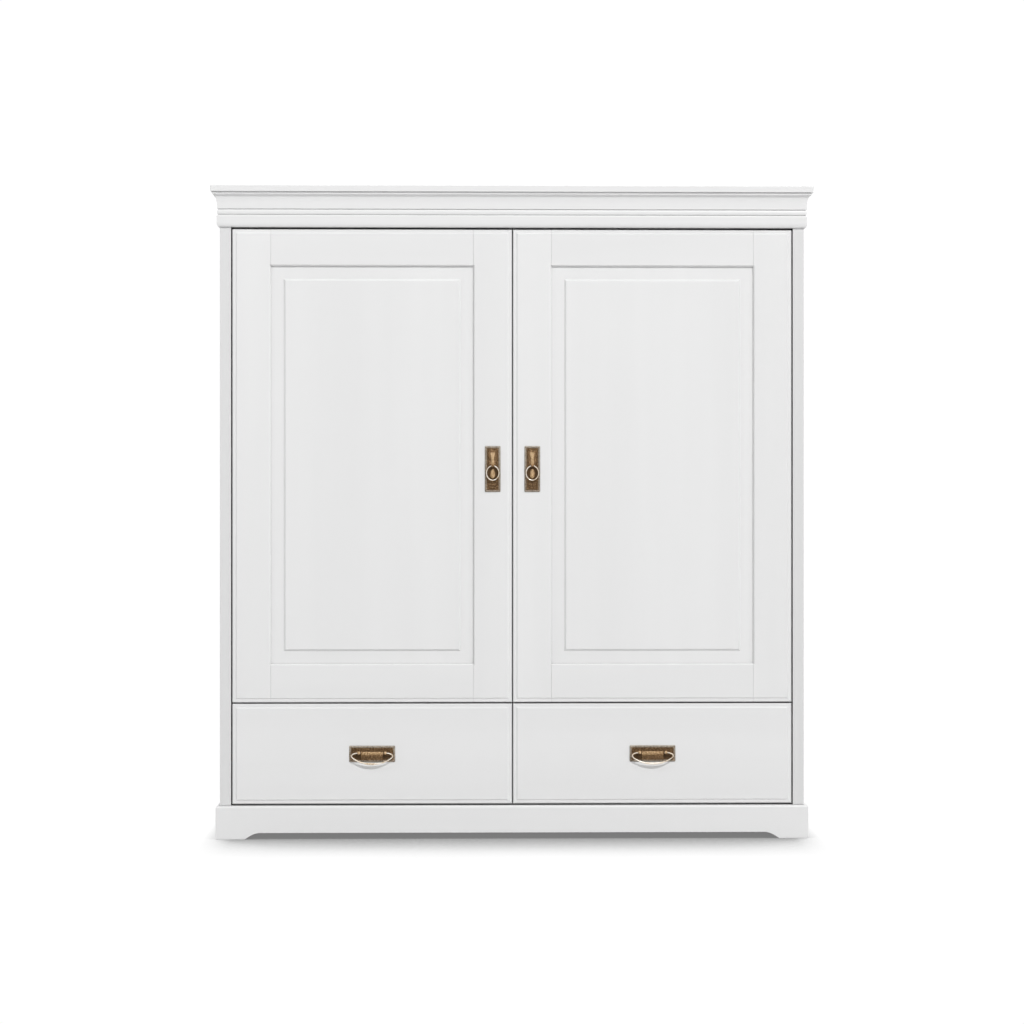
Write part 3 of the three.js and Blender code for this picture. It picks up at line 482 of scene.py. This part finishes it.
def finish_carcass():
    for name in (
        "top_board", "header_rail", "deck_panel", "floor_panel", "hat_shelf", "shelf_1", "shelf_2",
    ):
        finish_node(name, LACQUER["x"], BOARD_EDGE)
    for side in SIDES:
        finish_node(f"{side}_side_panel", SHADED_SIDE_LACQUER, BOARD_EDGE)
    finish_node("centre_partition", LACQUER["z"], BOARD_EDGE)
    finish_node("drawer_partition", LACQUER["y"], BOARD_EDGE)
    finish_node("back_panel", BACKING, BACK_EDGE)
    finish_node("clothes_rail", BEECH["x"], RAIL_EDGE)
    for name in ("cornice_front", "plinth_front", "plinth_back"):
        finish_node(name, LACQUER["x"], MOULDING_EDGE)
    for side in SIDES:
        for name in (f"cornice_{side}", f"plinth_{side}"):
            finish_node(name, LACQUER["y"], MOULDING_EDGE)
        for wall in ("outer", "inner"):
            finish_node(f"{side}_{wall}_runner", BEECH["y"], RUNNER_EDGE)


def finish_door(side):
    for member in ("hinge_stile", "meeting_stile", "panel"):
        finish_node(f"{side}_door_{member}", LACQUER["z"], DOOR_EDGE)
    for member in ("top_rail", "bottom_rail"):
        finish_node(f"{side}_door_{member}", LACQUER["x"], DOOR_EDGE)


def finish_drawer(side):
    drawer = f"{side}_drawer"
    finish_node(f"{drawer}_front", LACQUER["x"], DRAWER_FRONT_EDGE)
    finish_node(f"{drawer}_bottom", BEECH["x"], DRAWER_BOTTOM_EDGE)
    finish_node(f"{drawer}_back", BEECH["x"], DRAWER_WALL_EDGE)
    for wall in ("outer_side", "inner_side"):
        finish_node(f"{drawer}_{wall}", BEECH["y"], DRAWER_WALL_EDGE)


# ---- Pull plates: a raised relief over a thin plate ----

# A relief is a height in millimetres over a plate that lies round x = 0, z = 0, with z upwards.
# Its numbers are places, sizes and heights of the ornament, as eased steps, domes and waves.

PLATE_BASE = 1.9  # the plate's thickness under its relief
PLATE_CORNER = 2.4  # radius of the outline's corners
DOOR_PLATE = (39.0, 114.5)
DRAWER_PLATE = (114.5, 40.5)
RELIEF_STEP = 0.45  # between the vertices of a relief
RING_HALF_HEIGHT = 18.0
RING_HALF_WIDTH = 15.5
RING_TOP = 8.0  # the ring's pivot above the middle of its plate
RING_MIDDLE = RING_TOP - RING_HALF_HEIGHT
BARREL_HALF = 28.5  # half the length of the barrel on a drawer's plate


def inside_outline(x, z, size):
    """How far a point lies inside a plate's outline, its round corners left aside."""
    return min(size[0] / 2 - abs(x), size[1] / 2 - abs(z))


def round_corner(x, z, size):
    """Pulls a point of the grid's square corners in, so that the outline has round corners."""
    square_x, square_z = size[0] / 2 - PLATE_CORNER, size[1] / 2 - PLATE_CORNER
    over_x, over_z = abs(x) - square_x, abs(z) - square_z
    if over_x > 0 and over_z > 0:
        reach = max(over_x, over_z) / math.hypot(over_x, over_z)
        x = math.copysign(square_x + over_x * reach, x)
        z = math.copysign(square_z + over_z * reach, z)
    return x, z


def relief_plate(size, height_at):
    """A plate in millimetres round (0, 0), with its front face raised by height_at(x, z).

    Returns verts, faces and the relief of each vertex. Depth is along -Y, from the plate's back at 0.
    """
    width, height = size
    columns, rows = round(width / RELIEF_STEP), round(height / RELIEF_STEP)
    verts, faces, relief = [], [], []
    for row in range(rows + 1):
        for column in range(columns + 1):
            x, z = round_corner(width * (column / columns - 0.5), height * (row / rows - 0.5), size)
            lift = height_at(x, z)
            verts.append(Vector((x, -lift, z)))
            relief.append(lift)
    across = columns + 1
    for row in range(rows):
        for column in range(columns):
            a = row * across + column
            faces.append((a, a + 1, a + 1 + across, a + across))
    rim = (
        list(range(columns))
        + [columns + row * across for row in range(rows)]
        + [rows * across + column for column in range(columns, 0, -1)]
        + [row * across for row in range(rows, 0, -1)]
    )
    start = len(verts)
    for index in rim:
        verts.append(Vector((verts[index].x, 0, verts[index].z)))
        relief.append(0)
    count = len(rim)
    for i in range(count):
        j = (i + 1) % count
        faces.append((rim[i], start + i, start + j, rim[j]))
    faces.append(tuple(start + i for i in range(count)))
    return verts, faces, relief


def pebble(x, z, size, depth, seed):
    """An even, hand-struck roughness."""
    return depth * noise.noise(Vector((x / size, z / size, seed)))


def struck_ground(x, z, fine_seed, coarse_seed):
    """The plate's ground, with fine and coarse pebbles."""
    return pebble(x, z, 1.3, 0.22, fine_seed) + pebble(x, z, 3.6, 0.5, coarse_seed)


def rim_height(x, z, size):
    """The plate's base height: eased at the outline, with a low bead inside it."""
    inside = inside_outline(x, z, size)
    edge = smooth_step(0, 1.0, inside)
    bead = 0.45 * math.exp(-((inside - 2.3) / 0.8) ** 2)
    return PLATE_BASE * (0.55 + 0.45 * edge) + bead


def ball(x, z, cx, cz, radius, lift):
    """A round bead with its top at lift."""
    distance = math.hypot(x - cx, z - cz) / radius
    return lift * math.sqrt(max(0.0, 1 - distance * distance)) if distance < 1 else 0.0


def within(x, z, centre_z, half_x, half_z):
    """1 in the middle of an ellipse, 0 on its outline and outside it."""
    return max(0.0, 1 - (x / half_x) ** 2 - ((z - centre_z) / half_z) ** 2)


def door_plate_height(x, z):
    """Stem above, drop below, with a low ground round the stem, a dish in the ring and beads below."""
    lift = rim_height(x, z, DOOR_PLATE) + struck_ground(x, z, 3.1, 8.2)
    # the broad ground behind the stem, with fluted edges
    ground_half = 10.5 - 1.8 * smooth_step(44, 22, z) + 0.8 * math.cos(z * 1.15)
    ground = smooth_step(ground_half + 1.2, ground_half - 1.2, abs(x))
    ground *= smooth_step(8, 13, z) * smooth_step(49, 45, z)
    lift += 0.5 * ground
    # the stem, flared at its head
    stem_half = 3.9 + 1.9 * smooth_step(26, 38, z) + 0.5 * math.exp(-((z - 13) / 3) ** 2)
    stem_half += 0.35 * math.cos(z * 1.6)
    across = min(abs(x) / stem_half, 1.0)
    along = smooth_step(7.5, 9.5, z) * smooth_step(41.4, 40.0, z)
    lift += 1.75 * math.sqrt(1 - across * across) * along
    # the dish inside the ring, and the pear-shaped drop in it
    lift -= 0.75 * smooth_step(0, 0.5, within(x, z, RING_MIDDLE, 17.5, 19.0))
    drop_z = (z - RING_MIDDLE + 1.8) / 13.6
    if abs(drop_z) < 1:
        drop_half = 8.2 * math.sqrt(1 - drop_z * drop_z) * (0.86 - 0.22 * drop_z)
        drop_half += 0.3 * math.cos(z * 1.9)
        across = abs(x) / max(drop_half, 0.01)
        if across < 1:
            lift += 2.3 * math.sqrt(1 - across * across) * (1 - drop_z * drop_z) ** 0.3
    # beads and small scrolls at the foot and at the head
    for cx, cz, radius in ((-7, -38.5, 2.4), (2.5, -39.5, 2.2), (-1.5, -46.5, 1.8), (8.5, -44, 1.8)):
        lift += ball(x, z, cx, cz, radius, 0.8)
        lift += ball(x, z, -cx, cz, radius * 0.8, 0.4)
    for cx in (-11.5, 11.5):
        lift += ball(x, z, cx, 47.5, 1.8, 0.6)
    return min(lift, 4.2)


def drawer_plate_height(x, z):
    """A raised barrel between the posts, and beads and scrolls round it."""
    lift = rim_height(x, z, DRAWER_PLATE) + struck_ground(x, z, 5.4, 1.7)
    top, ridge, bottom = 6.5, -1.5, -19.3
    inside = min(BARREL_HALF - abs(x), top - z, z - bottom)
    if inside > 0:
        fall = (z - ridge) / (top - ridge) if z > ridge else (ridge - z) / (ridge - bottom)
        barrel = 3.2 * math.sqrt(max(0.0, 1 - 0.93 * fall * fall))
        lift += barrel * smooth_step(0, 1.6, inside) + pebble(x, z, 3.2, 0.35, 2.2)
    # hollows beside the barrel, and scrolls beyond the posts
    for cx in (-36.0, 36.0):
        lift -= 0.7 * smooth_step(0, 0.5, within(x - cx, z, -7, 9.0, 9.5))
    for cx in (-44.0, 44.0):
        ring = math.hypot((x - cx) / 1.25, z + 4) - 6.0
        lift += 0.5 * math.exp(-(ring / 1.1) ** 2)
        lift += ball(x, z, cx, -4, 2.4, 0.8)
    for cx in (-51.5, 51.5):
        for cz in (-14.5, 14.5):
            lift += ball(x, z, cx, cz, 2.0, 0.9)
    for cx in (-17.0, 0.0, 17.0):
        lift += ball(x, z, cx, 12.6, 1.7, 0.5)
    return min(lift, 5.0)


def door_plate_tone(x, z):
    """How much darker or lighter the plate is, beside what the relief gives: a darker dish, a lighter drop
    and ground, and a lighter left half on the upper stem.
    """
    dish = -0.24 * smooth_step(0, 0.3, within(x, z, RING_MIDDLE, 18.5, 20.5))
    drop = 0.42 * smooth_step(0, 0.4, within(x, z, RING_MIDDLE - 1.8, 7.4, 13.0))
    ground = 0.06 * smooth_step(0, 0.5, within(x, z, 27, 13, 22))
    stem = 0.2 * smooth_step(1.5, -2.5, x) * smooth_step(5.5, 4.0, abs(x)) * smooth_step(22, 36, z)
    return dish + drop + ground + stem


def drawer_plate_patina_and_shade(x, z):
    """Dark on the barrel and darker towards its foot, that darkening being painted shade; light arms and
    dark hollows beside it.
    """
    if abs(x) < BARREL_HALF and -18.5 < z < 7:
        # painted shade: the barrel's down-facing lower half is darkened towards its foot
        return -0.16 - 0.50 * smooth_step(0.5, -6.0, z)
    arm = 0.45 * smooth_step(0.2, 0.7, within(abs(x) - 34, z, 2.5, 9, 5.5))
    return arm - 0.35 * smooth_step(0, 0.4, within(abs(x) - 38, z, -4, 10, 9))


def grey_border_and_reflection(x, z, size):
    """1 on the plate's grey border, fading to 0 inside it, and stronger towards the top, where it is partly
    a painted reflection of light from above.
    """
    return smooth_step(6.5, 2.0, inside_outline(x, z, size)) * (0.7 + 0.3 * smooth_step(-5, 15, z))


def eye_shape(out, radius, width, bore):
    """A ring-shaped lug, across the plate, on a short web. Its hole runs along X."""
    steps = 28
    web = radius * 0.98
    outline = [(-PLATE_BASE, -web)]
    for i in range(steps + 1):
        angle = math.radians(-100 + 200 * i / steps)
        outline.append((-out - radius * math.cos(angle), radius * math.sin(angle)))
    outline.append((-PLATE_BASE, web))
    hole = []
    for y, z in outline:
        angle = math.atan2(z, y + out)
        hole.append((-out + bore * math.cos(angle), bore * math.sin(angle)))
    ease = 0.5
    layers = (
        (-width / 2, ease), (-width / 2 + ease, 0.0), (width / 2 - ease, 0.0), (width / 2, ease),
    )
    verts, faces = [], []
    for x, pull in layers:
        for line, other, share in ((outline, hole, 1.0), (hole, outline, 0.5)):
            for (y, z), (to_y, to_z) in zip(line, other):
                t = pull * share / math.hypot(to_y - y, to_z - z)
                verts.append(Vector((x, y + (to_y - y) * t, z + (to_z - z) * t)))
    count = len(outline)
    block = 2 * count
    for layer in range(len(layers) - 1):
        for i in range(count):
            j = (i + 1) % count
            a, b = layer * block + i, layer * block + j
            faces.append((a, b, b + block, a + block))
            c, d = a + count, b + count
            faces.append((d, c, c + block, d + block))
    for layer in (0, len(layers) - 1):
        for i in range(count):
            j = (i + 1) % count
            a, b = layer * block + i, layer * block + j
            faces.append((b, a, a + count, b + count))
    return verts, faces


def place_plate(body, size, height_at, patina_and_shade_at, pivot, eye, eye_places):
    """Puts a relief plate where the CAD plate is, with an eye round the pivot at each place along X."""
    node = f"{body}_pull_plate"
    low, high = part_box(node)
    origin = Vector(((low.x + high.x) / 2, high.y, (low.z + high.z) / 2))
    plate_verts, plate_faces, relief = relief_plate(size, height_at)
    lug = eye_shape((origin.y - pivot.y) / MM, **eye)
    eye_z = (pivot.z - origin.z) / MM
    eyes = [moved(lug, Matrix.Translation((eye_x, 0, eye_z))) for eye_x in eye_places]
    verts, faces = merged((plate_verts, plate_faces), *eyes)
    relief += [PLATE_BASE + 1.0] * (len(verts) - len(relief))
    # the relief field is the patina of the height plus each plate's tone, which on a drawer plate includes
    # painted shade
    placed = [origin + v * MM for v in verts]
    fields = {
        "relief": [
            min(max((value - PLATE_BASE + 0.5) / 2.3, 0.0), 1.0) + patina_and_shade_at(v.x, v.z)
            for value, v in zip(relief, verts)
        ],
        "border": [grey_border_and_reflection(v.x, v.z, size) for v in verts],
    }
    new_piece(
        f"{body}_plate_relief", (placed, faces), ANTIQUE, body, [node],
        smooth_angle=50, fields=fields,
    )


RING_WIRE = 1.15  # radius
RING_STEPS = 96
RING_EYE = {"radius": 3.6, "width": 7.0, "bore": 1.8}


def ring_pull(side):
    door = f"{side}_door"
    pivot = Vector(JOINTS[f"{side}_ring_swing"]["pos_m"])
    place_plate(door, DOOR_PLATE, door_plate_height, door_plate_tone, pivot, RING_EYE, [0])
    points = []
    for i in range(RING_STEPS):
        angle = 2 * math.pi * i / RING_STEPS
        across = RING_HALF_WIDTH * math.sin(angle)
        up = RING_HALF_HEIGHT * (math.cos(angle) - 1)
        points.append(pivot + Vector((across, 0, up)) * MM)
    ring = tube(points, [RING_WIRE * MM] * RING_STEPS, sides=24, closed=True)
    new_piece(
        f"{side}_ring_cast", ring, PALE, f"{side}_ring", [f"{door}_pull_ring"],
    )


BAIL_HALF_WIDTH = 51.0
BAIL_DROP = 27.0
BAIL_WIRE = 1.35  # radius
GRIP_SWELL = 1.45  # what the grip's middle has more than the wire
POST_EYE = {"radius": 3.9, "width": 6.0, "bore": 2.0}
POST_PLACES = (-33.0, 33.0)


def bail_line(pivot):
    """The bail's centre line: out of one post, down round the grip and back into the other."""
    wide, foot = BAIL_HALF_WIDTH, -BAIL_DROP
    half = [
        (29.3, 0.0), (33.0, 0.0), (37.0, -0.1), (wide - 6, -1.6), (wide - 1.2, -4.6),
        (wide, -8.3), (wide - 2.2, -11.8), (wide - 7, -15.4),
        (wide * 0.66, foot + 6.0), (wide * 0.46, foot + 2.6), (wide * 0.23, foot + 0.5),
    ]
    knots = [(-x, z) for x, z in half] + [(0.0, foot)] + [(x, z) for x, z in reversed(half)]
    line = bpy.data.curves.new("bail_line", "CURVE")
    spline = line.splines.new("BEZIER")
    spline.bezier_points.add(len(knots) - 1)
    for point, (x, z) in zip(spline.bezier_points, knots):
        point.co = (x, 0, z)
        point.handle_left_type = point.handle_right_type = "AUTO"
    line.resolution_u = 10
    holder = bpy.data.objects.new("bail_line", line)
    bpy.context.scene.collection.objects.link(holder)
    bpy.context.view_layer.update()
    flat = holder.to_mesh()
    points = [pivot + v.co * MM for v in flat.vertices]
    holder.to_mesh_clear()
    bpy.data.objects.remove(holder)
    bpy.data.curves.remove(line)
    return points


def bail_pull(side):
    drawer = f"{side}_drawer"
    pivot = Vector(JOINTS[f"{side}_bail_swing"]["pos_m"])
    place_plate(
        drawer, DRAWER_PLATE, drawer_plate_height, drawer_plate_patina_and_shade, pivot, POST_EYE, POST_PLACES,
    )
    points = bail_line(pivot)
    radii = []
    for point in points:
        reach = abs(point.x - pivot.x) / MM
        below = (pivot.z - point.z) / MM
        grip = smooth_step(38, 4, reach) if below > 15 else 0.0
        radii.append((BAIL_WIRE + GRIP_SWELL * grip) * MM)
    new_piece(
        f"{side}_bail_cast", tube(points, radii), PALE, f"{side}_bail",
        [f"{drawer}_pull_bail"],
    )


# ---- Hinges, with the middle one that repeats the CAD pair ----

SCREW_RADIUS = 3.4
HINGE_PLATE = 2.5  # thickness of the arm's mounting plate
CUP_SCREW_OFFSET = 0.0255  # of a screw above and below the cup's middle
PLATE_SCREW_OFFSET = 0.016
PLATE_SCREW_BEHIND_PIN = 0.063


def screw_head(radius):
    """A pan head with a cross recess, facing -Y, with its underside at y = 0. Millimetres."""
    top, recess = radius * 0.42, 0.9
    slot_half, slot_reach = radius * 0.14, radius * 0.6
    rings, spokes = 10, 40
    verts, faces = [Vector((0, -top + recess, 0))], []
    for ring in range(1, rings + 1):
        r = radius * ring / rings
        dome = top * math.sqrt(max(0.0, 1 - (r / radius) ** 2 * 0.75))
        for spoke in range(spokes):
            angle = 2 * math.pi * spoke / spokes
            x, z = r * math.cos(angle), r * math.sin(angle)
            slot = min(abs(x), abs(z)) < slot_half and max(abs(x), abs(z)) < slot_reach
            verts.append(Vector((x, -dome + (recess if slot else 0), z)))
    for spoke in range(spokes):
        faces.append((0, 1 + spoke, 1 + (spoke + 1) % spokes))
    for ring in range(rings - 1):
        for spoke in range(spokes):
            a = 1 + ring * spokes + spoke
            b = 1 + ring * spokes + (spoke + 1) % spokes
            faces.append((a, a + spokes, b + spokes, b))
    start = len(verts)
    edge = [1 + (rings - 1) * spokes + spoke for spoke in range(spokes)]
    verts += [Vector((verts[i].x, 0, verts[i].z)) for i in edge]
    for spoke in range(spokes):
        after = (spoke + 1) % spokes
        faces.append((edge[spoke], start + spoke, start + after, edge[after]))
    faces.append(tuple(start + spoke for spoke in reversed(range(spokes))))
    return verts, faces


def screws(name, spots, direction, radius, body):
    """Screw heads at spots, all facing one way, as one piece."""
    turn = turning((0, -1, 0), direction)
    head = screw_head(radius)
    shape = merged(*(
        moved(head, Matrix.Translation(spot) @ turn @ Matrix.Scale(MM, 4)) for spot in spots
    ))
    new_piece(name, shape, NICKEL, body, smooth_angle=40)


def repeat_hinge_part(node, name, lift, body):
    """The shape of a hinge's CAD node again, at another height, as a piece of its own."""
    source = NODES[node].data
    verts = [v.co + lift for v in source.vertices]
    faces = [tuple(p.vertices) for p in source.polygons]
    piece = new_piece(name, (verts, faces), NICKEL, body)
    soften_edges(piece, HINGE_EDGE)


def hinges(side):
    door = f"{side}_door"
    inward = -OUTWARD[side]
    pin = Vector(JOINTS[f"{door}_hinge"]["pos_m"])
    levels = {}
    for level in ("lower", "upper"):
        for half in ("arm", "cup"):
            finish_node(f"{side}_{level}_hinge_{half}", NICKEL, HINGE_EDGE)
        low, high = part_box(f"{side}_{level}_hinge_cup")
        levels[level] = (low.z + high.z) / 2
    levels["middle"] = (levels["lower"] + levels["upper"]) / 2
    lift = Vector((0, 0, levels["middle"] - levels["lower"]))
    for half, body in (("arm", "root"), ("cup", door)):
        repeat_hinge_part(f"{side}_lower_hinge_{half}", f"{side}_middle_hinge_{half}", lift, body)
    cup_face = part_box(f"{side}_lower_hinge_cup")[1].y
    arm_low, arm_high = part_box(f"{side}_lower_hinge_arm")
    plate_face = (arm_low.x if inward > 0 else arm_high.x) + inward * HINGE_PLATE * MM
    plate_y = pin.y + PLATE_SCREW_BEHIND_PIN
    for level, z in levels.items():
        spots = [Vector((pin.x, cup_face, z + way * CUP_SCREW_OFFSET)) for way in (-1, 1)]
        screws(f"{side}_{level}_cup_screws", spots, (0, 1, 0), SCREW_RADIUS, door)
        spots = [Vector((plate_face, plate_y, z + way * PLATE_SCREW_OFFSET)) for way in (-1, 1)]
        screws(f"{side}_{level}_plate_screws", spots, (inward, 0, 0), SCREW_RADIUS, "root")


# ---- Small fittings inside ----

WALL_GAP = 0.0003  # between the ends of a rail or a shelf and the walls beside it
SOCKET_FLANGE = 0.0026  # thickness of the rail sockets' flange
SOCKET_SCREW_RADIUS = 2.6
SOCKET_SCREWS = ((0, 0.0245), (-0.021, -0.012), (0.021, -0.012))  # round the rail's axis


def clothes_rail_fittings():
    """A round flange with three screws holds each end of the clothes rail."""
    low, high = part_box("clothes_rail")
    profile = [
        (0.0145, 0.0), (0.030, 0.0), (0.0305, 0.0012), (0.030, SOCKET_FLANGE), (0.0195, 0.0034),
        (0.0188, 0.0105), (0.0178, 0.0112), (0.0148, 0.0112), (0.0145, 0.0),
    ]
    socket = lathe(profile, 56)
    y, z = (low.y + high.y) / 2, (low.z + high.z) / 2
    for side, wall, way in (("left", low.x - WALL_GAP, 1), ("right", high.x + WALL_GAP, -1)):
        place = Matrix.Translation((wall, y, z)) @ turning((0, 0, 1), (way, 0, 0))
        new_piece(f"rail_socket_{side}", moved(socket, place), NICKEL, "root")
    for side, wall, way in (("left", low.x - WALL_GAP, 1), ("right", high.x + WALL_GAP, -1)):
        face = wall + way * SOCKET_FLANGE
        spots = [Vector((face, y + dy, z + dz)) for dy, dz in SOCKET_SCREWS]
        screws(f"rail_socket_screws_{side}", spots, (way, 0, 0), SOCKET_SCREW_RADIUS, "root")


def shelf_pins():
    """A flanged steel pin under each corner of each shelf."""
    pin = lathe([
        (0, 0), (0.0055, 0), (0.0055, 0.0012), (0.0025, 0.0014),
        (0.0025, 0.0095), (0.0021, 0.010), (0, 0.010),
    ])
    from_front, from_back, below = 0.05, 0.06, 0.0027
    for shelf in ("hat_shelf", "shelf_1", "shelf_2"):
        low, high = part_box(shelf)
        shapes = []
        for wall, way in ((low.x - WALL_GAP, 1), (high.x + WALL_GAP, -1)):
            for y in (low.y + from_front, high.y - from_back):
                place = Matrix.Translation((wall, y, low.z - below))
                shapes.append(moved(pin, place @ turning((0, 0, 1), (way, 0, 0))))
        new_piece(f"{shelf}_pins", merged(*shapes), NICKEL, "root")


def door_bumpers():
    """Two soft bumpers behind the meeting edge of each door."""
    bumper = lathe([(0, 0), (0.0045, 0), (0.0045, 0.0006), (0.0036, 0.0013), (0, 0.0015)])
    from_middle, from_end = 0.0055, 0.03
    for side in SIDES:
        low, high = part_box(f"{side}_door_meeting_stile")
        shapes = []
        for z in (low.z + from_end, high.z - from_end):
            place = Matrix.Translation((OUTWARD[side] * from_middle, high.y, z))
            shapes.append(moved(bumper, place @ turning((0, 0, 1), (0, 1, 0))))
        new_piece(
            f"{side}_door_bumpers", merged(*shapes), PLASTIC, f"{side}_door",
        )


# ---- Setting ----

DOOR_PLANE = -0.269  # where the doors' faces are, and what the camera's scale is set for
FLOOR_REACH = 30.0
SHADOW_REACH = 0.42
SHADOW_END = (0.70, 0.775)  # the shadow fades out between these distances from the middle, along X
KEY_PLACE = (4.6, -11.9, 12.0)
KEY_SIZE = 1.6
KEY_WATTS = 1610
FILL_PLACE = (-4.2, -2.4, 3.6)
FILL_SIZE = 0.5
FILL_WATTS = 32
AIM_HEIGHT = 0.8


def pale_floor():
    """White to the camera, with a soft shadow close round the plinth; a plain pale floor to other light."""
    n = Nodes("pale_floor")
    mottle = n.noise(3, 3, 0.5)
    near = n.ramp(
        n.occlusion(SHADOW_REACH),
        (0.1, 0.19), (0.5, 0.31), (0.64, 0.43), (0.76, 0.68), (0.88, 0.93), (0.97, 1.0),
    )
    spot = n.tree.nodes.new("ShaderNodeSeparateXYZ")
    n.link(n.place, spot.inputs["Vector"])
    beyond = n.ramp(
        n.math("ABSOLUTE", spot.outputs["X"]), (SHADOW_END[0], 0), (SHADOW_END[1], 1),
    )
    near = n.mix(beyond, near, (1.0, 1.0, 1.0))
    glow = n.tree.nodes.new("ShaderNodeEmission")
    white = n.ramp(mottle, (0.3, 0.98), (0.7, 1.0))
    n.link(n.mix(1.0, white, near, "MULTIPLY"), glow.inputs["Color"])
    glow.inputs["Strength"].default_value = 1.03
    n.feed(n.shader, "Base Color", n.ramp(mottle, (0.3, 0.68), (0.7, 0.72)))
    n.shader.inputs["Roughness"].default_value = 0.9
    n.shader.inputs["Specular IOR Level"].default_value = 0.1
    either = n.tree.nodes.new("ShaderNodeMixShader")
    n.link(n.tree.nodes.new("ShaderNodeLightPath").outputs["Is Camera Ray"], either.inputs[0])
    n.link(n.shader.outputs[0], either.inputs[1])
    n.link(glow.outputs[0], either.inputs[2])
    n.link(either.outputs[0], n.output.inputs["Surface"])
    return n.material


def world_light():
    """White where it is seen and behind the wardrobe; dimmer in front, and stronger from the right."""
    strength_behind = 1.02
    front, more_to_right, more_upwards, least = 0.28, 0.24, 0.20, 0.05
    world = bpy.data.worlds.new("studio")
    bpy.context.scene.world = world
    world.use_nodes = True
    tree = world.node_tree
    background = tree.nodes["Background"]
    background.inputs["Color"].default_value = (1.0, 1.0, 1.0, 1)
    direction = tree.nodes.new("ShaderNodeTexCoord")
    parts = tree.nodes.new("ShaderNodeSeparateXYZ")
    tree.links.new(direction.outputs["Generated"], parts.inputs["Vector"])
    behind = tree.nodes.new("ShaderNodeMapRange")
    behind.interpolation_type = "SMOOTHSTEP"
    behind.inputs["From Min"].default_value = 0.0
    behind.inputs["From Max"].default_value = 0.45
    tree.links.new(parts.outputs["Y"], behind.inputs["Value"])
    in_front = math_node(tree, "MULTIPLY_ADD", parts.outputs["X"], more_to_right, front)
    in_front = math_node(tree, "MULTIPLY_ADD", parts.outputs["Z"], more_upwards, in_front)
    in_front = math_node(tree, "MAXIMUM", in_front, least)
    seen = tree.nodes.new("ShaderNodeLightPath").outputs["Is Camera Ray"]
    white = math_node(tree, "MAXIMUM", behind.outputs["Result"], seen)
    strength = tree.nodes.new("ShaderNodeMix")
    tree.links.new(white, strength.inputs["Factor"])
    tree.links.new(in_front, strength.inputs["A"])
    strength.inputs["B"].default_value = strength_behind
    tree.links.new(strength.outputs["Result"], background.inputs["Strength"])


def area_light(name, place, size, watts):
    light = bpy.data.lights.new(name, "AREA")
    light.shape = "SQUARE"
    light.size = size
    light.energy = watts
    holder = bpy.data.objects.new(name, light)
    holder.location = place
    holder.rotation_mode = "QUATERNION"
    aim = Vector((0, DOOR_PLANE, AIM_HEIGHT)) - holder.location
    holder.rotation_quaternion = aim.to_track_quat("-Z", "Y")
    bpy.context.scene.collection.objects.link(holder)


def studio():
    floor = bpy.data.meshes.new("studio_floor")
    ways = ((-1, -1), (1, -1), (1, 1), (-1, 1))
    floor.from_pydata([(x * FLOOR_REACH, y * FLOOR_REACH, 0) for x, y in ways], [], [(0, 1, 2, 3)])
    plane = bpy.data.objects.new("studio_floor", floor)
    bpy.context.scene.collection.objects.link(plane)
    floor.materials.append(pale_floor())
    world_light()
    area_light("key_light", KEY_PLACE, KEY_SIZE, KEY_WATTS)
    area_light("fill_light", FILL_PLACE, FILL_SIZE, FILL_WATTS)


def camera():
    """Almost square-on at half height, a touch to the left, from seven metres away."""
    middle = Vector((-0.0012, DOOR_PLANE, 0.816))
    distance = 7.0
    turn = math.radians(-1.2)
    shown_height = 2.56
    lens = bpy.data.cameras.new("studio_camera")
    lens.sensor_width = 36
    lens.lens = lens.sensor_width * distance / shown_height
    holder = bpy.data.objects.new("studio_camera", lens)
    back = Vector((math.sin(turn), -math.cos(turn), 0))
    holder.location = middle + back * distance
    holder.rotation_mode = "QUATERNION"
    holder.rotation_quaternion = (-back).to_track_quat("-Z", "Y")
    bpy.context.scene.collection.objects.link(holder)
    bpy.context.scene.camera = holder


camera()
studio()
bpy.context.scene.view_settings.view_transform = "Standard"
finish_carcass()
for side in SIDES:
    finish_door(side)
for side in SIDES:
    finish_drawer(side)
for side in SIDES:
    ring_pull(side)
    bail_pull(side)
    hinges(side)
clothes_rail_fittings()
shelf_pins()
door_bumpers()
